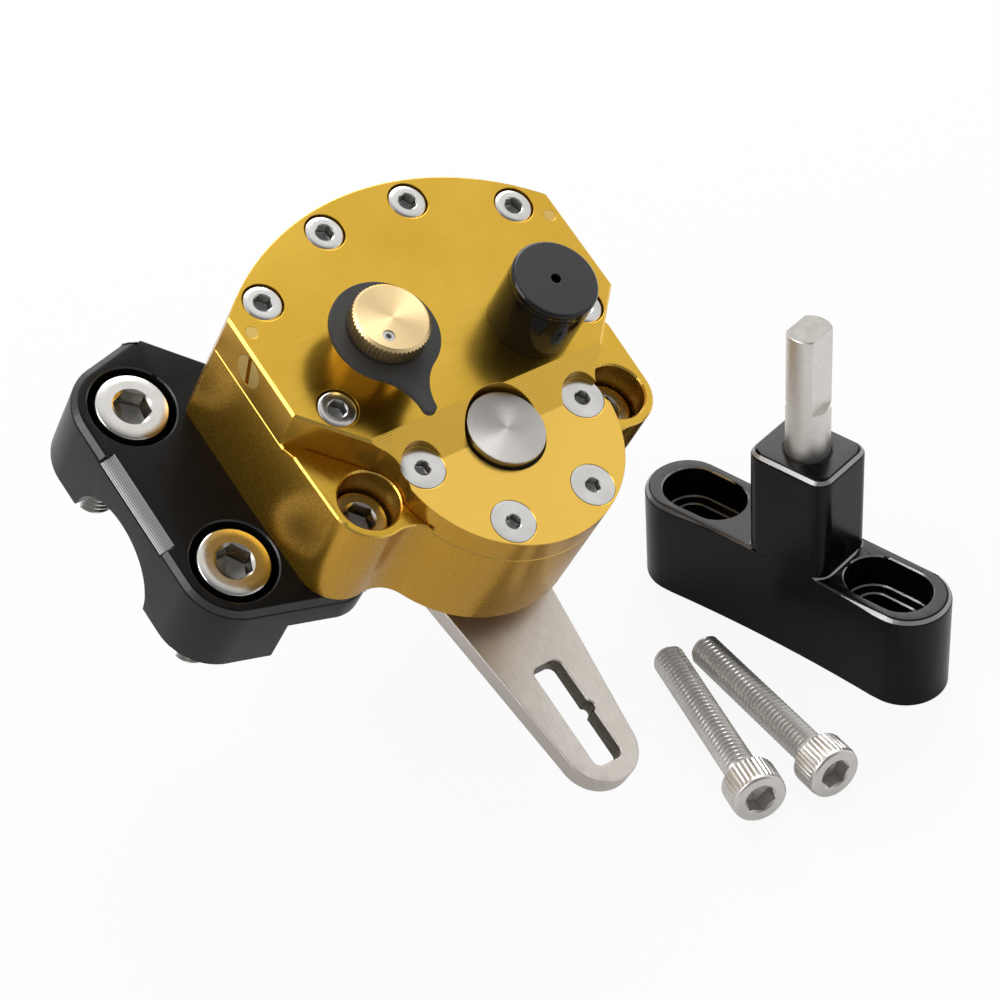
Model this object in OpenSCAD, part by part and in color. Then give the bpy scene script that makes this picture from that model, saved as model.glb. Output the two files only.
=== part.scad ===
// Steering damper kit for a motorcycle: a rotary damper on its bar clamp with its link arm,
// and beside it the tower bracket with its drive pin and its two loose screws.
// Millimetres. The bench is z = 0, X runs along the tower bracket, Z is up,
// and the origin lies on the bench midway between the bracket's slots.
// The damper is drawn in its own frame, shaft along z, parting plane at z = 0, nose towards -y,
// and lay() then leans it the way it is shown.

/* [Placing] */
// lean of the damper, nose down, in degrees
lay_pitch = 27; // [20:0.1:32]
// roll of the damper in degrees
lay_roll = 7.3; // [4:0.1:10]
// heading of the damper from the tower's long axis in degrees
lay_turn = 80.3; // [76:0.1:84]
// place of the damper's shaft along the tower
lay_x = -28.2; // [-40:0.1:-26]
// place of the damper's shaft across the tower
lay_y = -46.8; // [-60:0.1:-45]
// height of the arm's tip above the bench
tip_gap = 8.3; // [8:0.1:20]

/* [Fits] */
// radial clearance of a running or sliding fit
fit_gap = 0.04; // [0.02:0.01:0.08]
// clearance between pieces that move past each other
run_gap = 0.3; // [0.2:0.05:0.5]
// clearance of a screw in its tapped hole
tap_gap = 0.02; // [0.01:0.01:0.05]
// clearance of a screw in its through hole
pass_gap = 0.25; // [0.1:0.05:0.5]

/* [Housing] */
// height of the lower housing
body_h = 20; // [18:0.1:26]
// rim of the side walls beyond the dowels
side_rim = 2.4; // [1.6:0.1:4]
// rim of the rear wall beyond the rear row of screws
rear_rim = 4.3; // [3.9:0.1:6]
// radius of the nose about the shaft
nose_r = 21.6; // [20.8:0.1:23]
// where the straight sides end and the angled cuts begin
side_y = 15.7; // [14.5:0.1:18]
// distance of each ear bolt from the shaft
ear_x = 26.7; // [26:0.1:29]
// radius of each ear
ear_r = 7; // [6.8:0.1:7.4]
// rise of the ears above the parting plane
ear_rise = 1.2; // [0.6:0.1:2]
// distance of the foot of that rise from the corner of the cover
rise_off = 1; // [0.5:0.1:2]
// run of the slope up to the ears
rise_run = 2.7; // [1.5:0.1:4]
// radius of the hollow between ear and nose
ear_fillet = 6; // [4:0.1:9]
// radius of the tool well over each ear bolt
ear_well_r = 5.4; // [5.2:0.05:5.9]
// how far the cover keeps clear of those wells
ear_clear = 0.5; // [0.3:0.05:0.6]
// depth of the bolt head's top below the ear
ear_sink = 4.5; // [1:0.1:8]
// thickness of the cover
cover_t = 8.5; // [8.2:0.1:11]
// slope at the cover's straight top edges
cover_edge = 0.3; // [0.2:0.05:0.6]
// thickness of the cover over the nose
nose_t = 5.1; // [5:0.1:7]
// where the cover's ramp begins
ramp_y = 6.8; // [5:0.1:7.6]
// run of that ramp
ramp_run = 6.7; // [4:0.1:9]

/* [Chamber] */
// radius of the shaft
shaft_r = 7; // [6:0.1:7.4]
// height of the shaft's face above the nose
shaft_proud = 1.5; // [0.5:0.1:3]
// gap round the shaft where it leaves the housing
lip_gap = 0.5; // [0.3:0.1:0.8]
// swing of the arm to each side in degrees
swing = 40; // [30:1:42]
// thickness of the vane
vane_t = 8; // [6:0.1:9]
// clearance of the vane to the stop walls at full swing
stop_gap = 0.6; // [0.3:0.1:1.5]
// radius of the vane's hub
hub_r = 10; // [9.2:0.1:10.6]
// radius of the oil chamber
chamber_r = 39.5; // [37:0.1:40.2]
// depth of the oil chamber
chamber_d = 13.5; // [10:0.1:13.8]
// wall of the shaft bushes
bush_wall = 1.5; // [1:0.1:1.8]
// length of the upper bush
upper_bush_l = 2.8; // [2:0.1:3]
// length of the lower bush
lower_bush_l = 3.6; // [2:0.1:3.8]
// height of the shaft seals
seal_h = 1.5; // [1:0.1:1.6]
// thickness of the vane's seal
vane_seal_t = 3; // [2:0.1:4]
// width of the vane's seal strip
vane_seal_w = 3.5; // [2:0.1:4]
// where the vane's seal begins, from the shaft axis
vane_seal_in = 15; // [12:0.1:20]
// distance of the cover gasket from the chamber
gasket_off = 1; // [0.8:0.1:1.4]
// width of the cover gasket
gasket_w = 1.6; // [1:0.1:1.8]
// thickness of the cover gasket
gasket_t = 1.2; // [0.8:0.1:2]

/* [Cover screws] */
// radius of the cover screws
cover_screw_r = 2; // [1.5:0.1:2.1]
// head radius of the cover screws
cover_head_r = 3.5; // [3:0.1:3.55]
// head height of the cover screws
cover_head_h = 4; // [3:0.1:4.1]
// key width of the cover screws
cover_key = 3; // [2:0.5:3.5]
// length of the cover screws under the head
cover_screw_l = 12; // [8:1:14]
// clearance round the cover screw heads
head_gap = 0.15; // [0.1:0.05:0.3]
// depth of those heads below the cover
head_sink = 0.1; // [0.05:0.05:0.5]
// distance of the rear row of cover screws from the gasket
row_land = 3; // [2.6:0.1:5]
// angle of the inner pair of the rear row in degrees
rear_in_turn = 11.3; // [8:0.1:16]
// angle of the outer pair of the rear row in degrees
rear_out_turn = 36.4; // [32:0.1:37]
// place of the side screws across the cover
side_screw_x = 26.4; // [26.3:0.1:27.5]
// place of the side screws along the cover
side_screw_y = 14; // [13.4:0.1:16]
// radius of the nose screws
nose_screw_r = 2; // [1.5:0.1:2.2]
// head radius of the nose screws
nose_head_r = 4; // [3.5:0.1:4.1]
// key width of the nose screws
nose_key = 2.5; // [2:0.5:3]
// length of the nose screws
nose_screw_l = 11; // [8:1:14]
// radius of the ring of nose screws
nose_row_r = 17.2; // [16.6:0.1:17.3]
// radius of the dowels
dowel_r = 1.1; // [0.8:0.05:1.15]
// length of the dowels
dowel_l = 14.5; // [12:0.5:18]
// angle of the dowels in the rear row in degrees
dowel_turn = 44.8; // [44:0.1:46]

/* [Relief valve] */
// distance between the relief plug and the dowel beside it
relief_land = 0.5; // [0.4:0.1:1]
// height of the relief plug above the parting plane
relief_z = 4.7; // [4.4:0.1:4.9]
// radius of the relief plug
relief_r = 2.9; // [2.5:0.1:3]
// length of the relief plug
relief_l = 4; // [3:0.1:5]
// depth of the relief seat from the side wall
relief_depth = 10.7; // [10:0.1:12]
// radius of the relief ball
ball_r = 1.75; // [1.5:0.05:2]
// radius of the relief port
relief_port_r = 1; // [0.6:0.1:1.2]
// wire radius of the relief spring
relief_wire = 0.2; // [0.15:0.01:0.25]
// turns of the relief spring
relief_turns = 3; // [2:0.5:3]
// width of the screwdriver slot in the plug
driver_slot_w = 0.9; // [0.6:0.1:1.2]
// depth of that slot
driver_slot_d = 1.1; // [0.6:0.1:1.5]

/* [Adjuster] */
// place of the adjuster across the cover
knob_x = -15.4; // [-16:0.1:-15]
// place of the adjuster along the cover
knob_y = 20.1; // [19.6:0.1:20.6]
// radius of the knob
knob_r = 6.75; // [6.2:0.05:7.5]
// height of the knob
knob_h = 3.55; // [3.2:0.05:5]
// number of ridges on the knob
knurls = 56; // [40:4:72]
// depth of the ridges
knurl_d = 0.22; // [0.1:0.02:0.3]
// slope at the knob's top edge
knob_edge = 0.6; // [0.3:0.1:0.8]
// radius of the collar under the pointer
collar_r = 6.55; // [6:0.05:7.2]
// height of the collar
collar_h = 6.5; // [6:0.1:8]
// radius of the collar's neck in the cover
collar_neck_r = 4.5; // [4.2:0.1:4.6]
// depth of the neck in the cover
collar_neck_l = 4.9; // [4.6:0.1:5]
// radius of the spigot that carries the pointer
spigot_r = 5; // [4.5:0.1:5.4]
// thickness of the pointer
pointer_t = 1.2; // [1:0.05:1.8]
// radius of the pointer's ring
pointer_r = 9.5; // [8.6:0.1:10.2]
// reach of the pointer's tip
pointer_l = 16.4; // [14:0.1:17]
// radius of the pointer's blunt tip
pointer_tip_r = 1.2; // [0.8:0.1:1.8]
// radius of the pointer's hollow flanks
pointer_flank = 9; // [6:0.1:14]
// direction of the pointer in degrees
pointer_turn = -5; // [-20:1:20]
// radius of the spindle
spindle_r = 3; // [2.9:0.05:3.2]
// radius of the spindle inside the knob
spindle_top_r = 2.6; // [2.4:0.05:2.6]
// radius of the needle
needle_r = 1.95; // [1.85:0.05:2.1]
// radius of the needle's threaded stem
stem_r = 1.5; // [1.3:0.05:1.55]
// travel of the needle to each side
needle_travel = 1.2; // [0.8:0.1:1.3]
// length of the needle's bore
needle_bore = 6.8; // [6.4:0.1:7.2]
// distance of the stem's end below the knob
stem_short = 2.2; // [1.8:0.1:2.6]
// radius of the needle's port
port_r = 1; // [0.6:0.1:1.2]
// height of the spindle's ring seal above the spindle's end
spindle_ring_up = 2.2; // [2:0.1:2.6]
// depth of the needle's ring seal below the needle's shoulder
needle_ring_down = 1.2; // [1:0.1:1.4]
// length of the needle's taper
needle_taper = 1.2; // [1:0.1:1.4]
// radius of the adjuster's ring seals in section
valve_ring_r = 0.5; // [0.4:0.02:0.52]
// radius of the grub screw in the knob
grub_r = 1.05; // [0.8:0.05:1.1]
// distance of the grub screw from the knob's axis
grub_off = 3.82; // [3.8:0.02:4.6]
// length of the grub screw
grub_l = 2.2; // [1.5:0.1:2.6]

/* [Reservoir] */
// place of the reservoir cap across the cover
cap_x = 15.3; // [15:0.1:15.4]
// place of the reservoir cap along the cover
cap_y = 15.2; // [15.1:0.1:15.4]
// radius of the cap
cap_r = 7.7; // [7.2:0.05:7.9]
// height of the cap above the cover
cap_h = 12.7; // [12:0.1:16]
// slope at the cap's top edge
cap_edge = 0.5; // [0.3:0.1:0.8]
// distance of the fine groove below the cap's top
cap_line_z = 1.6; // [1.2:0.1:2.2]
// width of that groove
cap_line_w = 0.5; // [0.4:0.1:0.8]
// depth of that groove
cap_line_d = 0.2; // [0.1:0.05:0.3]
// radius of the cap's neck in the cover
cap_neck_r = 5.9; // [5.6:0.1:6]
// depth of the neck in the cover
cap_neck_l = 4.3; // [4:0.1:4.8]
// radius of the reservoir bore
res_bore_r = 4.6; // [4.2:0.05:4.8]
// thickness of the cap's roof
cap_roof = 1.8; // [1.2:0.1:2]
// radius of the vent in the roof
vent_r = 0.9; // [0.5:0.1:1.2]
// height of the piston
piston_h = 4; // [3:0.1:4.5]
// height of the piston's underside above the parting plane
piston_z = 7; // [6.6:0.1:7.4]
// radius of the piston's ring seal in section
piston_ring_r = 0.5; // [0.4:0.05:0.6]
// wire radius of the reservoir spring
res_wire = 0.35; // [0.25:0.05:0.4]
// turns of the reservoir spring
res_turns = 4.5; // [3:0.5:5]
// radius of the cap seal in section
cap_ring_r = 0.35; // [0.25:0.05:0.4]

/* [Arm] */
// drop from the housing to the arm's top face
arm_drop = 5; // [4:0.1:6]
// thickness of the arm
arm_t = 3.7; // [2.6:0.1:5]
// radius of the arm's hub
arm_hub_r = 12.4; // [11.6:0.1:12.9]
// radius of the arm's boss
arm_boss_r = 10.5; // [9:0.1:11.4]
// gap between the boss and the housing
arm_boss_gap = 0.9; // [0.5:0.1:1.5]
// distance of the arm's tip centre from the shaft
arm_l = 47.6; // [46:0.1:54]
// radius of the arm's tip
arm_tip_r = 7.15; // [6:0.05:8]
// width of the arm's slot
arm_slot_w = 5.9; // [5.8:0.1:6.6]
// length of the arm's slot
arm_slot_l = 20.4; // [18:0.1:23]
// rim of the arm beyond the far end of the slot
arm_rim = 3.75; // [3:0.05:5]
// corner radius of the slot
arm_slot_corner = 1.5; // [0.8:0.1:2.8]
// radius of the small relief in the slot's side
slot_nick_r = 1; // [0.5:0.1:1.5]
// width of the square drive
drive_w = 9.6; // [8:0.1:9.7]
// radius of the arm bolt
arm_bolt_r = 3; // [2.5:0.1:3.5]
// length of the arm bolt
arm_bolt_l = 14; // [10:1:18]
// head radius of the arm bolt
arm_bolt_head_r = 5.2; // [4.5:0.1:6]
// head height of the arm bolt
arm_bolt_head_h = 3.2; // [2.5:0.1:4]
// key width of the arm bolt
arm_bolt_key = 4; // [3:0.5:4.5]
// radius of the arm washer
arm_washer_r = 8; // [7.4:0.1:10]
// thickness of the arm washer
arm_washer_t = 1.5; // [1:0.1:2]
// gap the washer closes over the square drive
drive_short = 0.5; // [0.2:0.1:1]

/* [Clamp] */
// height of the bar clamp
clamp_h = 17.4; // [16:0.1:22]
// radius of the handlebar saddle
bar_r = 11.1; // [10.5:0.05:11.2]
// place of the bar's axis behind the shaft
bar_y = 23.9; // [23.7:0.1:24.4]
// depth of the bar's axis below the clamp
bar_drop = 0.7; // [0.2:0.1:1]
// distance of the clamp bolts' wells from the housing's side
well_land = 0.07; // [0.05:0.01:1]
// wall round the clamp bolts' wells
well_wall = 0.8; // [0.5:0.1:1.2]
// floor under the clamp bolts' wells
well_floor = 2; // [1.5:0.1:2.2]
// distance of the clamp bolts from the bar
clamp_bolt_off = 16.4; // [16:0.1:17]
// radius of the clamp's rounded corners about its bolts
clamp_boss_r = 10.4; // [9.4:0.1:12]
// distance of the left leg's inner face from the shaft
leg_in = 36.6; // [36:0.1:38]
// distance of the right end of the bridge from the shaft
bridge_end = 33; // [33:0.1:34.2]
// width of the saddle foot under that end
foot_w = 15; // [10:0.1:18]
// half length of that foot along the bridge
foot_half = 14.8; // [13:0.1:16]
// front edge of the bridge
bridge_front = 13.6; // [13.4:0.1:14.4]
// rear edge of the bridge
bridge_rear = 41.8; // [40:0.1:43]
// distance of the rounded tail corner's middle from the rear clamp bolt, along the bar
tail_x = 6.2; // [5:0.1:7]
// the same across the bar
tail_y = 9.1; // [8.5:0.1:10]
// radius of that corner
tail_r = 3; // [2:0.1:4]
// direction in which the slope behind that corner faces
tail_turn = 43.8; // [38:0.1:50]
// radius of the clamp round each ear bolt
clamp_ear_r = 6.9; // [6.2:0.1:7.4]
// slope at the top edge of the clamp's left end
clamp_edge = 1.2; // [0.5:0.1:1.5]
// width of the flat milled on the left end's edge
waist_w = 2.5; // [1:0.1:3]
// depth of that flat
waist_d = 1.6; // [0.8:0.1:2.5]
// half length of that flat along the edge
waist_half = 9.7; // [6:0.1:11]
// radius of the clamp bolts
clamp_bolt_r = 4; // [3.5:0.1:4.2]
// length of the clamp bolts under the head
clamp_bolt_l = 22; // [20:1:25]
// head radius of the clamp bolts
clamp_head_r = 6.5; // [6:0.1:6.8]
// head height of the clamp bolts
clamp_head_h = 8; // [7:0.1:8.5]
// key width of the clamp bolts
clamp_key = 6; // [5:0.5:7]
// radius of the wells of the clamp bolts
clamp_well_r = 7.75; // [7.2:0.05:8.2]
// depth of the wells
clamp_well_d = 8; // [7:0.1:9]
// radius of the ear bolts
ear_bolt_r = 3; // [2.5:0.1:3.2]
// length of the ear bolts under the head
ear_bolt_l = 15.5; // [14:0.5:16]
// head radius of the ear bolts
ear_head_r = 5; // [4.5:0.1:5.1]
// head height of the ear bolts
ear_head_h = 6; // [5:0.1:6.5]
// key width of the ear bolts
ear_key = 5; // [4:0.5:5.5]

/* [Tower] */
// height of the bracket's base
base_h = 20.2; // [16:0.1:24]
// radius of the base's round ends
base_end_r = 7.9; // [7.8:0.1:9.5]
// distance of those ends from the middle
base_end_x = 24.3; // [23.6:0.1:26]
// half width of the base at its waist
base_waist = 7.1; // [6.6:0.1:7.6]
// half length of the long hollow in each side of the base
base_hollow_half = 22.5; // [18:0.1:23]
// distance of the slots from the middle
slot_x = 20.3; // [19.8:0.1:21]
// length of the slot wells
well_l = 16.8; // [15:0.1:17]
// width of the slot wells
well_w = 11.1; // [10.6:0.1:12]
// depth of the slot wells
well_d = 7; // [6:0.1:9]
// length of the through slots
slot_l = 12.4; // [10:0.1:13]
// width of the through slots
slot_w = 6.8; // [6.2:0.1:7.6]
// place of the pin from the middle of the slots
pin_x = 2.5; // [0:0.1:2.6]
// width of the block along the base
block_w = 17; // [15:0.1:17.2]
// top of the block above the bench
block_top = 42.3; // [36:0.1:52]
// corner radius of the block
block_corner = 2.9; // [1.5:0.1:4]
// slope at the top edges of the base and of the block
tower_edge = 0.9; // [0.4:0.1:1.2]
// radius of the drive pin
pin_r = 4; // [3.5:0.05:5]
// top of the pin above the bench
pin_top = 68.4; // [60:0.1:80]
// floor of the pin's bore above the bench
pin_floor = 10; // [6:0.1:16]
// width over the pin's flats
pin_flats = 5.6; // [5:0.1:5.7]
// length of the pin's flats
pin_flat_l = 16; // [12:0.1:20]
// slope at the pin's top edge
pin_edge = 0.2; // [0.2:0.1:0.8]
// slope round the mouth of the pin's bore
mouth_edge = 0.4; // [0.2:0.1:0.6]
// radius of the pin's ring seal in section
pin_ring_r = 0.7; // [0.5:0.05:0.9]
// depth of that seal below the block's top
pin_ring_z = 4; // [3:0.1:8]

/* [Loose screws] */
// radius of the tower screws
tower_screw_r = 3; // [2.5:0.1:3.2]
// length of the tower screws under the head
tower_screw_l = 35; // [30:1:45]
// head radius of the tower screws
tower_head_r = 5; // [4.5:0.1:5.2]
// head height of the tower screws
tower_head_h = 6; // [5:0.1:6.5]
// key width of the tower screws
tower_key = 5; // [4:0.5:5.5]
// pitch of the tower screws' thread
tower_pitch = 1; // [0.8:0.05:1.5]
// depth of that thread
tower_thread_d = 0.5; // [0.3:0.05:0.6]
// tip of the nearer loose screw along the tower
near_tip_x = -10.5; // [-11.5:0.1:-9]
// tip of the nearer loose screw across the tower
near_tip_y = -24.3; // [-25.5:0.1:-23.8]
// heading of the nearer loose screw in degrees
near_turn = -28.8; // [-31:0.1:-28]
// tip of the further loose screw along the tower
far_tip_x = -6.8; // [-7.8:0.1:-5.8]
// tip of the further loose screw across the tower
far_tip_y = -18.5; // [-18.9:0.1:-17.5]
// heading of the further loose screw in degrees
far_turn = -18.6; // [-19.5:0.1:-17]

/* [Hidden] */
$fn = 64;
// overshoot of cuts
over = 1;
// slope at the rim of screw heads
head_edge = 0.5;
// how far a web's walls lie inside the tangents of its two ends
web_inset = 0.03;
// how much deeper than its edge an edge cutter goes, and how far it runs on
cut_inset = 0.13;
cut_run = 4;
// underside of the housing and top of the clamp
body_z = -body_h;
clamp_z = body_z - clamp_h;
bar_z = clamp_z - bar_drop;
// thickness of the clamp's bridge, which passes just over the bar
bridge_t = clamp_h + bar_drop - bar_r - run_gap;
arm_z = body_z - arm_drop - arm_t;
boss_z = body_z - arm_boss_gap;
// height that puts the arm's tip at its gap over the bench
tip_drop = sin(lay_pitch) * (arm_l + arm_tip_r) - cos(lay_pitch) * arm_z;
lay_z = tip_gap + cos(lay_roll) * tip_drop;
// outline of the cover, from the chamber outwards
rear_row_r = chamber_r + gasket_off + gasket_w + row_land;
rear_r = rear_row_r + rear_rim;
dowel_x = rear_row_r * sin(dowel_turn);
dowel_y = rear_row_r * cos(dowel_turn);
half_w = dowel_x + side_rim;
relief_y = dowel_y - dowel_r - relief_land - relief_r;
bush_r = shaft_r + bush_wall;
chamber_z = -chamber_d;
lower_bush_z = chamber_z - lower_bush_l;
lower_seal_z = lower_bush_z - seal_h;
chamber_wall = vane_t / 2 + stop_gap;
cover_seat = cover_t - cover_head_h - head_sink;
ear_seat = -ear_sink - ear_head_h;
clamp_seat = body_z - clamp_well_d;
clamp_rear_y = bar_y + clamp_bolt_off;
clamp_front_y = bar_y - clamp_bolt_off;
clamp_bolt_x = half_w + well_land + clamp_well_r;
clamp_end = clamp_bolt_x + clamp_boss_r;
// middles of the round corners of the clamp's left part, and the end of its slope
clamp_front = [-clamp_bolt_x, clamp_front_y];
clamp_ear = [-ear_x, 0];
clamp_rear = [-clamp_bolt_x, clamp_rear_y];
clamp_tail = clamp_rear + [tail_x, tail_y];
tail_side = [cos(tail_turn), sin(tail_turn)];
tail_reach = tail_side * clamp_tail + tail_r - web_inset;
clamp_slope = [(tail_reach - tail_side[1] * bridge_rear) / tail_side[0], bridge_rear];
// levels of the adjuster, from the cover upwards
collar_top = cover_t + collar_h;
pointer_z = collar_top + run_gap;
knob_z = pointer_z + pointer_t + run_gap;
knob_bore = knob_h - 1.4;
spigot_top = knob_z - 0.4;
neck_z = cover_t - collar_neck_l;
spindle_z = neck_z + needle_bore;
needle_top = spindle_z - needle_travel - 0.4;
needle_z = neck_z + needle_travel + 0.2;
stem_top = knob_z - stem_short;
// levels of the reservoir
cap_top = cover_t + cap_h;
cap_roof_z = cap_top - cap_roof;
cap_neck_z = cover_t - cap_neck_l;
piston_top = piston_z + piston_h;
// places along the relief bore, measured inwards from the side wall
ball_place = relief_depth - sqrt(ball_r * ball_r - relief_port_r * relief_port_r) - 0.02;
relief_spring_l = ball_place - ball_r - relief_l - 0.04;
relief_coil_r = ball_r - 2 * relief_wire;
res_coil_r = res_bore_r - 3 * res_wire;
res_spring_l = cap_roof_z - piston_top - 0.04;
// lean of a loose screw that lies on its head and its tip
screw_lean = atan((tower_head_r - tower_screw_r) / tower_screw_l);
// centre of the hollow between ear and nose
hollow_a = nose_r + ear_fillet;
hollow_b = ear_r + ear_fillet;
hollow_x = (hollow_a * hollow_a - hollow_b * hollow_b + ear_x * ear_x) / (2 * ear_x);
hollow_y = -sqrt(hollow_a * hollow_a - hollow_x * hollow_x);
// radius of the long hollow in each side of the tower's base
dip = base_end_r - base_waist;
base_hollow = (base_hollow_half * base_hollow_half + dip * dip) / (2 * dip);

rear_angles = [-rear_out_turn, -rear_in_turn, rear_in_turn, rear_out_turn];
nose_angles = [0, 180, 240, 300];
sides = [-1, 1];

// colours of the sub-parts
gold = [0.72, 0.52, 0.1];
black = [0.06, 0.06, 0.06];
steel = [0.72, 0.72, 0.7];
brass = [0.8, 0.64, 0.32];
bronze = [0.6, 0.42, 0.2];
rubber = [0.1, 0.1, 0.1];

// Helpers

// puts a piece of the damper where the damper lies
module lay() {
  translate([lay_x, lay_y, lay_z])
    rotate([lay_pitch, lay_roll, lay_turn])
      children();
}

// direction from the centres of two circles to their outer tangent, on the side named by 1 or -1
function tangent(a, ra, b, rb, side) =
  let (d = norm(b - a), e = (b - a) / d, s = (ra - rb) / d)
  s * e + side * sqrt(1 - s * s) * [-e[1], e[0]];

// web between two upright cylinders, set in from their outer tangents so that its walls cut both
module web(a, ra, b, rb, h) {
  m = tangent(a, ra, b, rb, 1);
  n = tangent(a, ra, b, rb, -1);
  qa = ra - web_inset;
  qb = rb - web_inset;
  linear_extrude(h) polygon([a + qa * m, b + qb * m, b + qb * n, a + qa * n]);
}

// cutter that slopes a straight top edge at z = 0 running from a to b, with the outside on its left;
// it runs on past both ends, and deep enough to cut a round corner that the edge is tangent to
module edge_cut(a, b, e) {
  d = b - a;
  l = norm(d);
  c = e + cut_inset;
  translate([a[0], a[1], 0]) rotate([90, 0, atan2(d[0], -d[1])]) translate([0, 0, -cut_run])
    linear_extrude(l + 2 * cut_run) polygon([[-c, 0], [over, -c - over], [over, over], [-c, over]]);
}

// two upright cylinders and the web between them
module link(a, ra, b, rb, h) {
  translate([a[0], a[1], 0]) cylinder(r = ra, h = h);
  translate([b[0], b[1], 0]) cylinder(r = rb, h = h);
  web(a, ra, b, rb, h);
}

// upright post with a sloped top edge
module bevel_post(r, h, e) {
  rotate_extrude() polygon([[0, 0], [r, 0], [r, h - e], [r - e, h], [0, h]]);
}

// bar along x with sloped top edges on its long sides
module bevel_bar(l, w, h, e) {
  translate([-l / 2, 0, 0]) rotate([90, 0, 90]) linear_extrude(l)
    polygon([[-w / 2, 0], [w / 2, 0], [w / 2, h - e], [w / 2 - e, h], [e - w / 2, h], [-w / 2, h - e]]);
}

// bar along x with round ends and a sloped top edge all round
module bevel_slot(half, r, h, e) {
  bevel_bar(2 * half, 2 * r, h, e);
  for (s = sides)
    translate([s * half, 0, 0]) bevel_post(r, h, e);
}

// upright block with round corners and a sloped top edge, centred on x and y
module bevel_block(w, d, h, r, e) {
  bevel_bar(w - 2 * r, d, h, e);
  rotate([0, 0, 90]) bevel_bar(d - 2 * r, w, h, e);
  for (sx = sides)
    for (sy = sides)
      translate([sx * (w / 2 - r), sy * (d / 2 - r), 0]) bevel_post(r, h, e);
}

// upright block with round corners, centred on x and y
module round_block(w, d, h, r) {
  translate([-w / 2 + r, -d / 2, 0]) cube([w - 2 * r, d, h]);
  translate([-w / 2, -d / 2 + r, 0]) cube([w, d - 2 * r, h]);
  for (sx = sides)
    for (sy = sides)
      translate([sx * (w / 2 - r), sy * (d / 2 - r), 0]) cylinder(r = r, h = h);
}

// head of a socket screw, seat at z = 0
module socket_head(head_r, head_h, key) {
  difference() {
    rotate_extrude()
      polygon([
        [0, 0], [head_r, 0], [head_r, head_h - head_edge], [head_r - head_edge, head_h], [0, head_h]
      ]);
    translate([0, 0, head_h / 2]) cylinder(d = key / cos(30), h = head_h, $fn = 6);
  }
}

// socket screw with a plain shank, seat at z = 0
module socket_screw(r, l, head_r, head_h, key) {
  difference() {
    union() {
      socket_head(head_r, head_h, key);
      translate([0, 0, -l]) cylinder(r = r, h = l + head_h / 4);
    }
    translate([0, 0, -l]) bevel_end(r, head_edge);
  }
}

// cutter that slopes the end of a shank
module bevel_end(r, e) {
  translate([0, 0, -over])
    difference() {
      cylinder(r = r + over, h = e + over);
      translate([0, 0, over]) cylinder(r1 = r - e, r2 = r, h = e);
      cylinder(r = r - e, h = 2 * over);
    }
}

// countersunk screw, head face at z = 0
module flat_screw(r, l, head_r, key) {
  difference() {
    rotate_extrude() polygon([[0, -l], [r, -l], [r, r - head_r], [head_r, 0], [0, 0]]);
    translate([0, 0, -0.6 * (head_r - r) - 0.5]) cylinder(d = key / cos(30), h = head_r, $fn = 6);
  }
}

// ring seal of round section, centred at z = 0
module ring_seal(major, minor) {
  rotate_extrude() translate([major, 0]) circle(r = minor, $fn = 24);
}

// square groove for a ring seal, cut inwards from radius r
module ring_groove(r, minor) {
  translate([0, 0, -minor])
    difference() {
      cylinder(r = r + over, h = 2 * minor);
      translate([0, 0, -over]) cylinder(r = r - 2 * minor, h = 2 * minor + 2 * over);
    }
}

// coil spring standing on z = 0, swept as one tube
coil_steps = 8;
coil_sides = 6;
function coil_mid(r, wire, l, turns, i) =
  let (a = 360 * i / coil_steps, k = i / (coil_steps * turns))
  [r * cos(a), r * sin(a), wire + (l - 2 * wire) * k];
function coil_points(r, wire, l, turns) = [
  for (i = [0 : coil_steps * turns])
    for (j = [0 : coil_sides - 1])
      let (a = 360 * i / coil_steps, b = 360 * j / coil_sides, m = coil_mid(r, wire, l, turns, i))
      [m[0] + wire * cos(b) * cos(a), m[1] + wire * cos(b) * sin(a), m[2] + wire * sin(b)]
];
function coil_self_gap(r, wire, l, turns) =
  min([
    for (i = [0 : coil_steps * turns - coil_steps])
      norm(coil_mid(r, wire, l, turns, i + coil_steps) - coil_mid(r, wire, l, turns, i)) - 2 * wire
  ]);
module coil(r, wire, l, turns) {
  n = coil_steps * turns;
  s = coil_sides;
  last = n * s;
  walls = [
    for (i = [0 : n - 1])
      for (j = [0 : s - 1])
        let (a = i * s + j, b = i * s + (j + 1) % s)
        for (f = [[a, b, a + s], [b, b + s, a + s]]) f
  ];
  ends = concat(
    [for (j = [1 : s - 2]) [0, j + 1, j]],
    [for (j = [1 : s - 2]) [last, last + j, last + j + 1]]
  );
  polyhedron(points = coil_points(r, wire, l, turns), faces = concat(walls, ends));
}

// shank with thread ridges, from its tip at z = 0 upwards
module thread_shank(r, l, pitch, d) {
  n = floor((l - 2 * pitch) / pitch);
  ridges = [
    for (i = [0 : n - 1])
      for (q = [[r - d, 0], [r, 0.4], [r, 0.6]])
        [q[0], pitch * (1 + i + q[1])]
  ];
  rotate_extrude()
    polygon(concat(
      [[0, 0], [r - d - 0.2, 0], [r - d, 0.4]], ridges,
      [[r - d, pitch * (1 + n)], [r - d, l], [0, l]]
    ));
}

// Shared outlines of the damper

// outline of the cover grown by g, standing on z = 0
module cover_block(h, g) {
  wide = half_w + g;
  corner = side_y + g - g * sqrt(2);
  fill_y = (ear_x - wide + corner) / 2;
  fill_x = ear_x - fill_y;
  cylinder(r = nose_r + g, h = h);
  intersection() {
    cylinder(r = rear_r + g, h = h);
    linear_extrude(h)
      polygon([
        [-wide, 2 * rear_r], [-wide, corner], [-fill_x, fill_y], [web_inset - nose_r, 0],
        [nose_r - web_inset, 0], [fill_x, fill_y], [wide, corner], [wide, 2 * rear_r]
      ]);
  }
}

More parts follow.
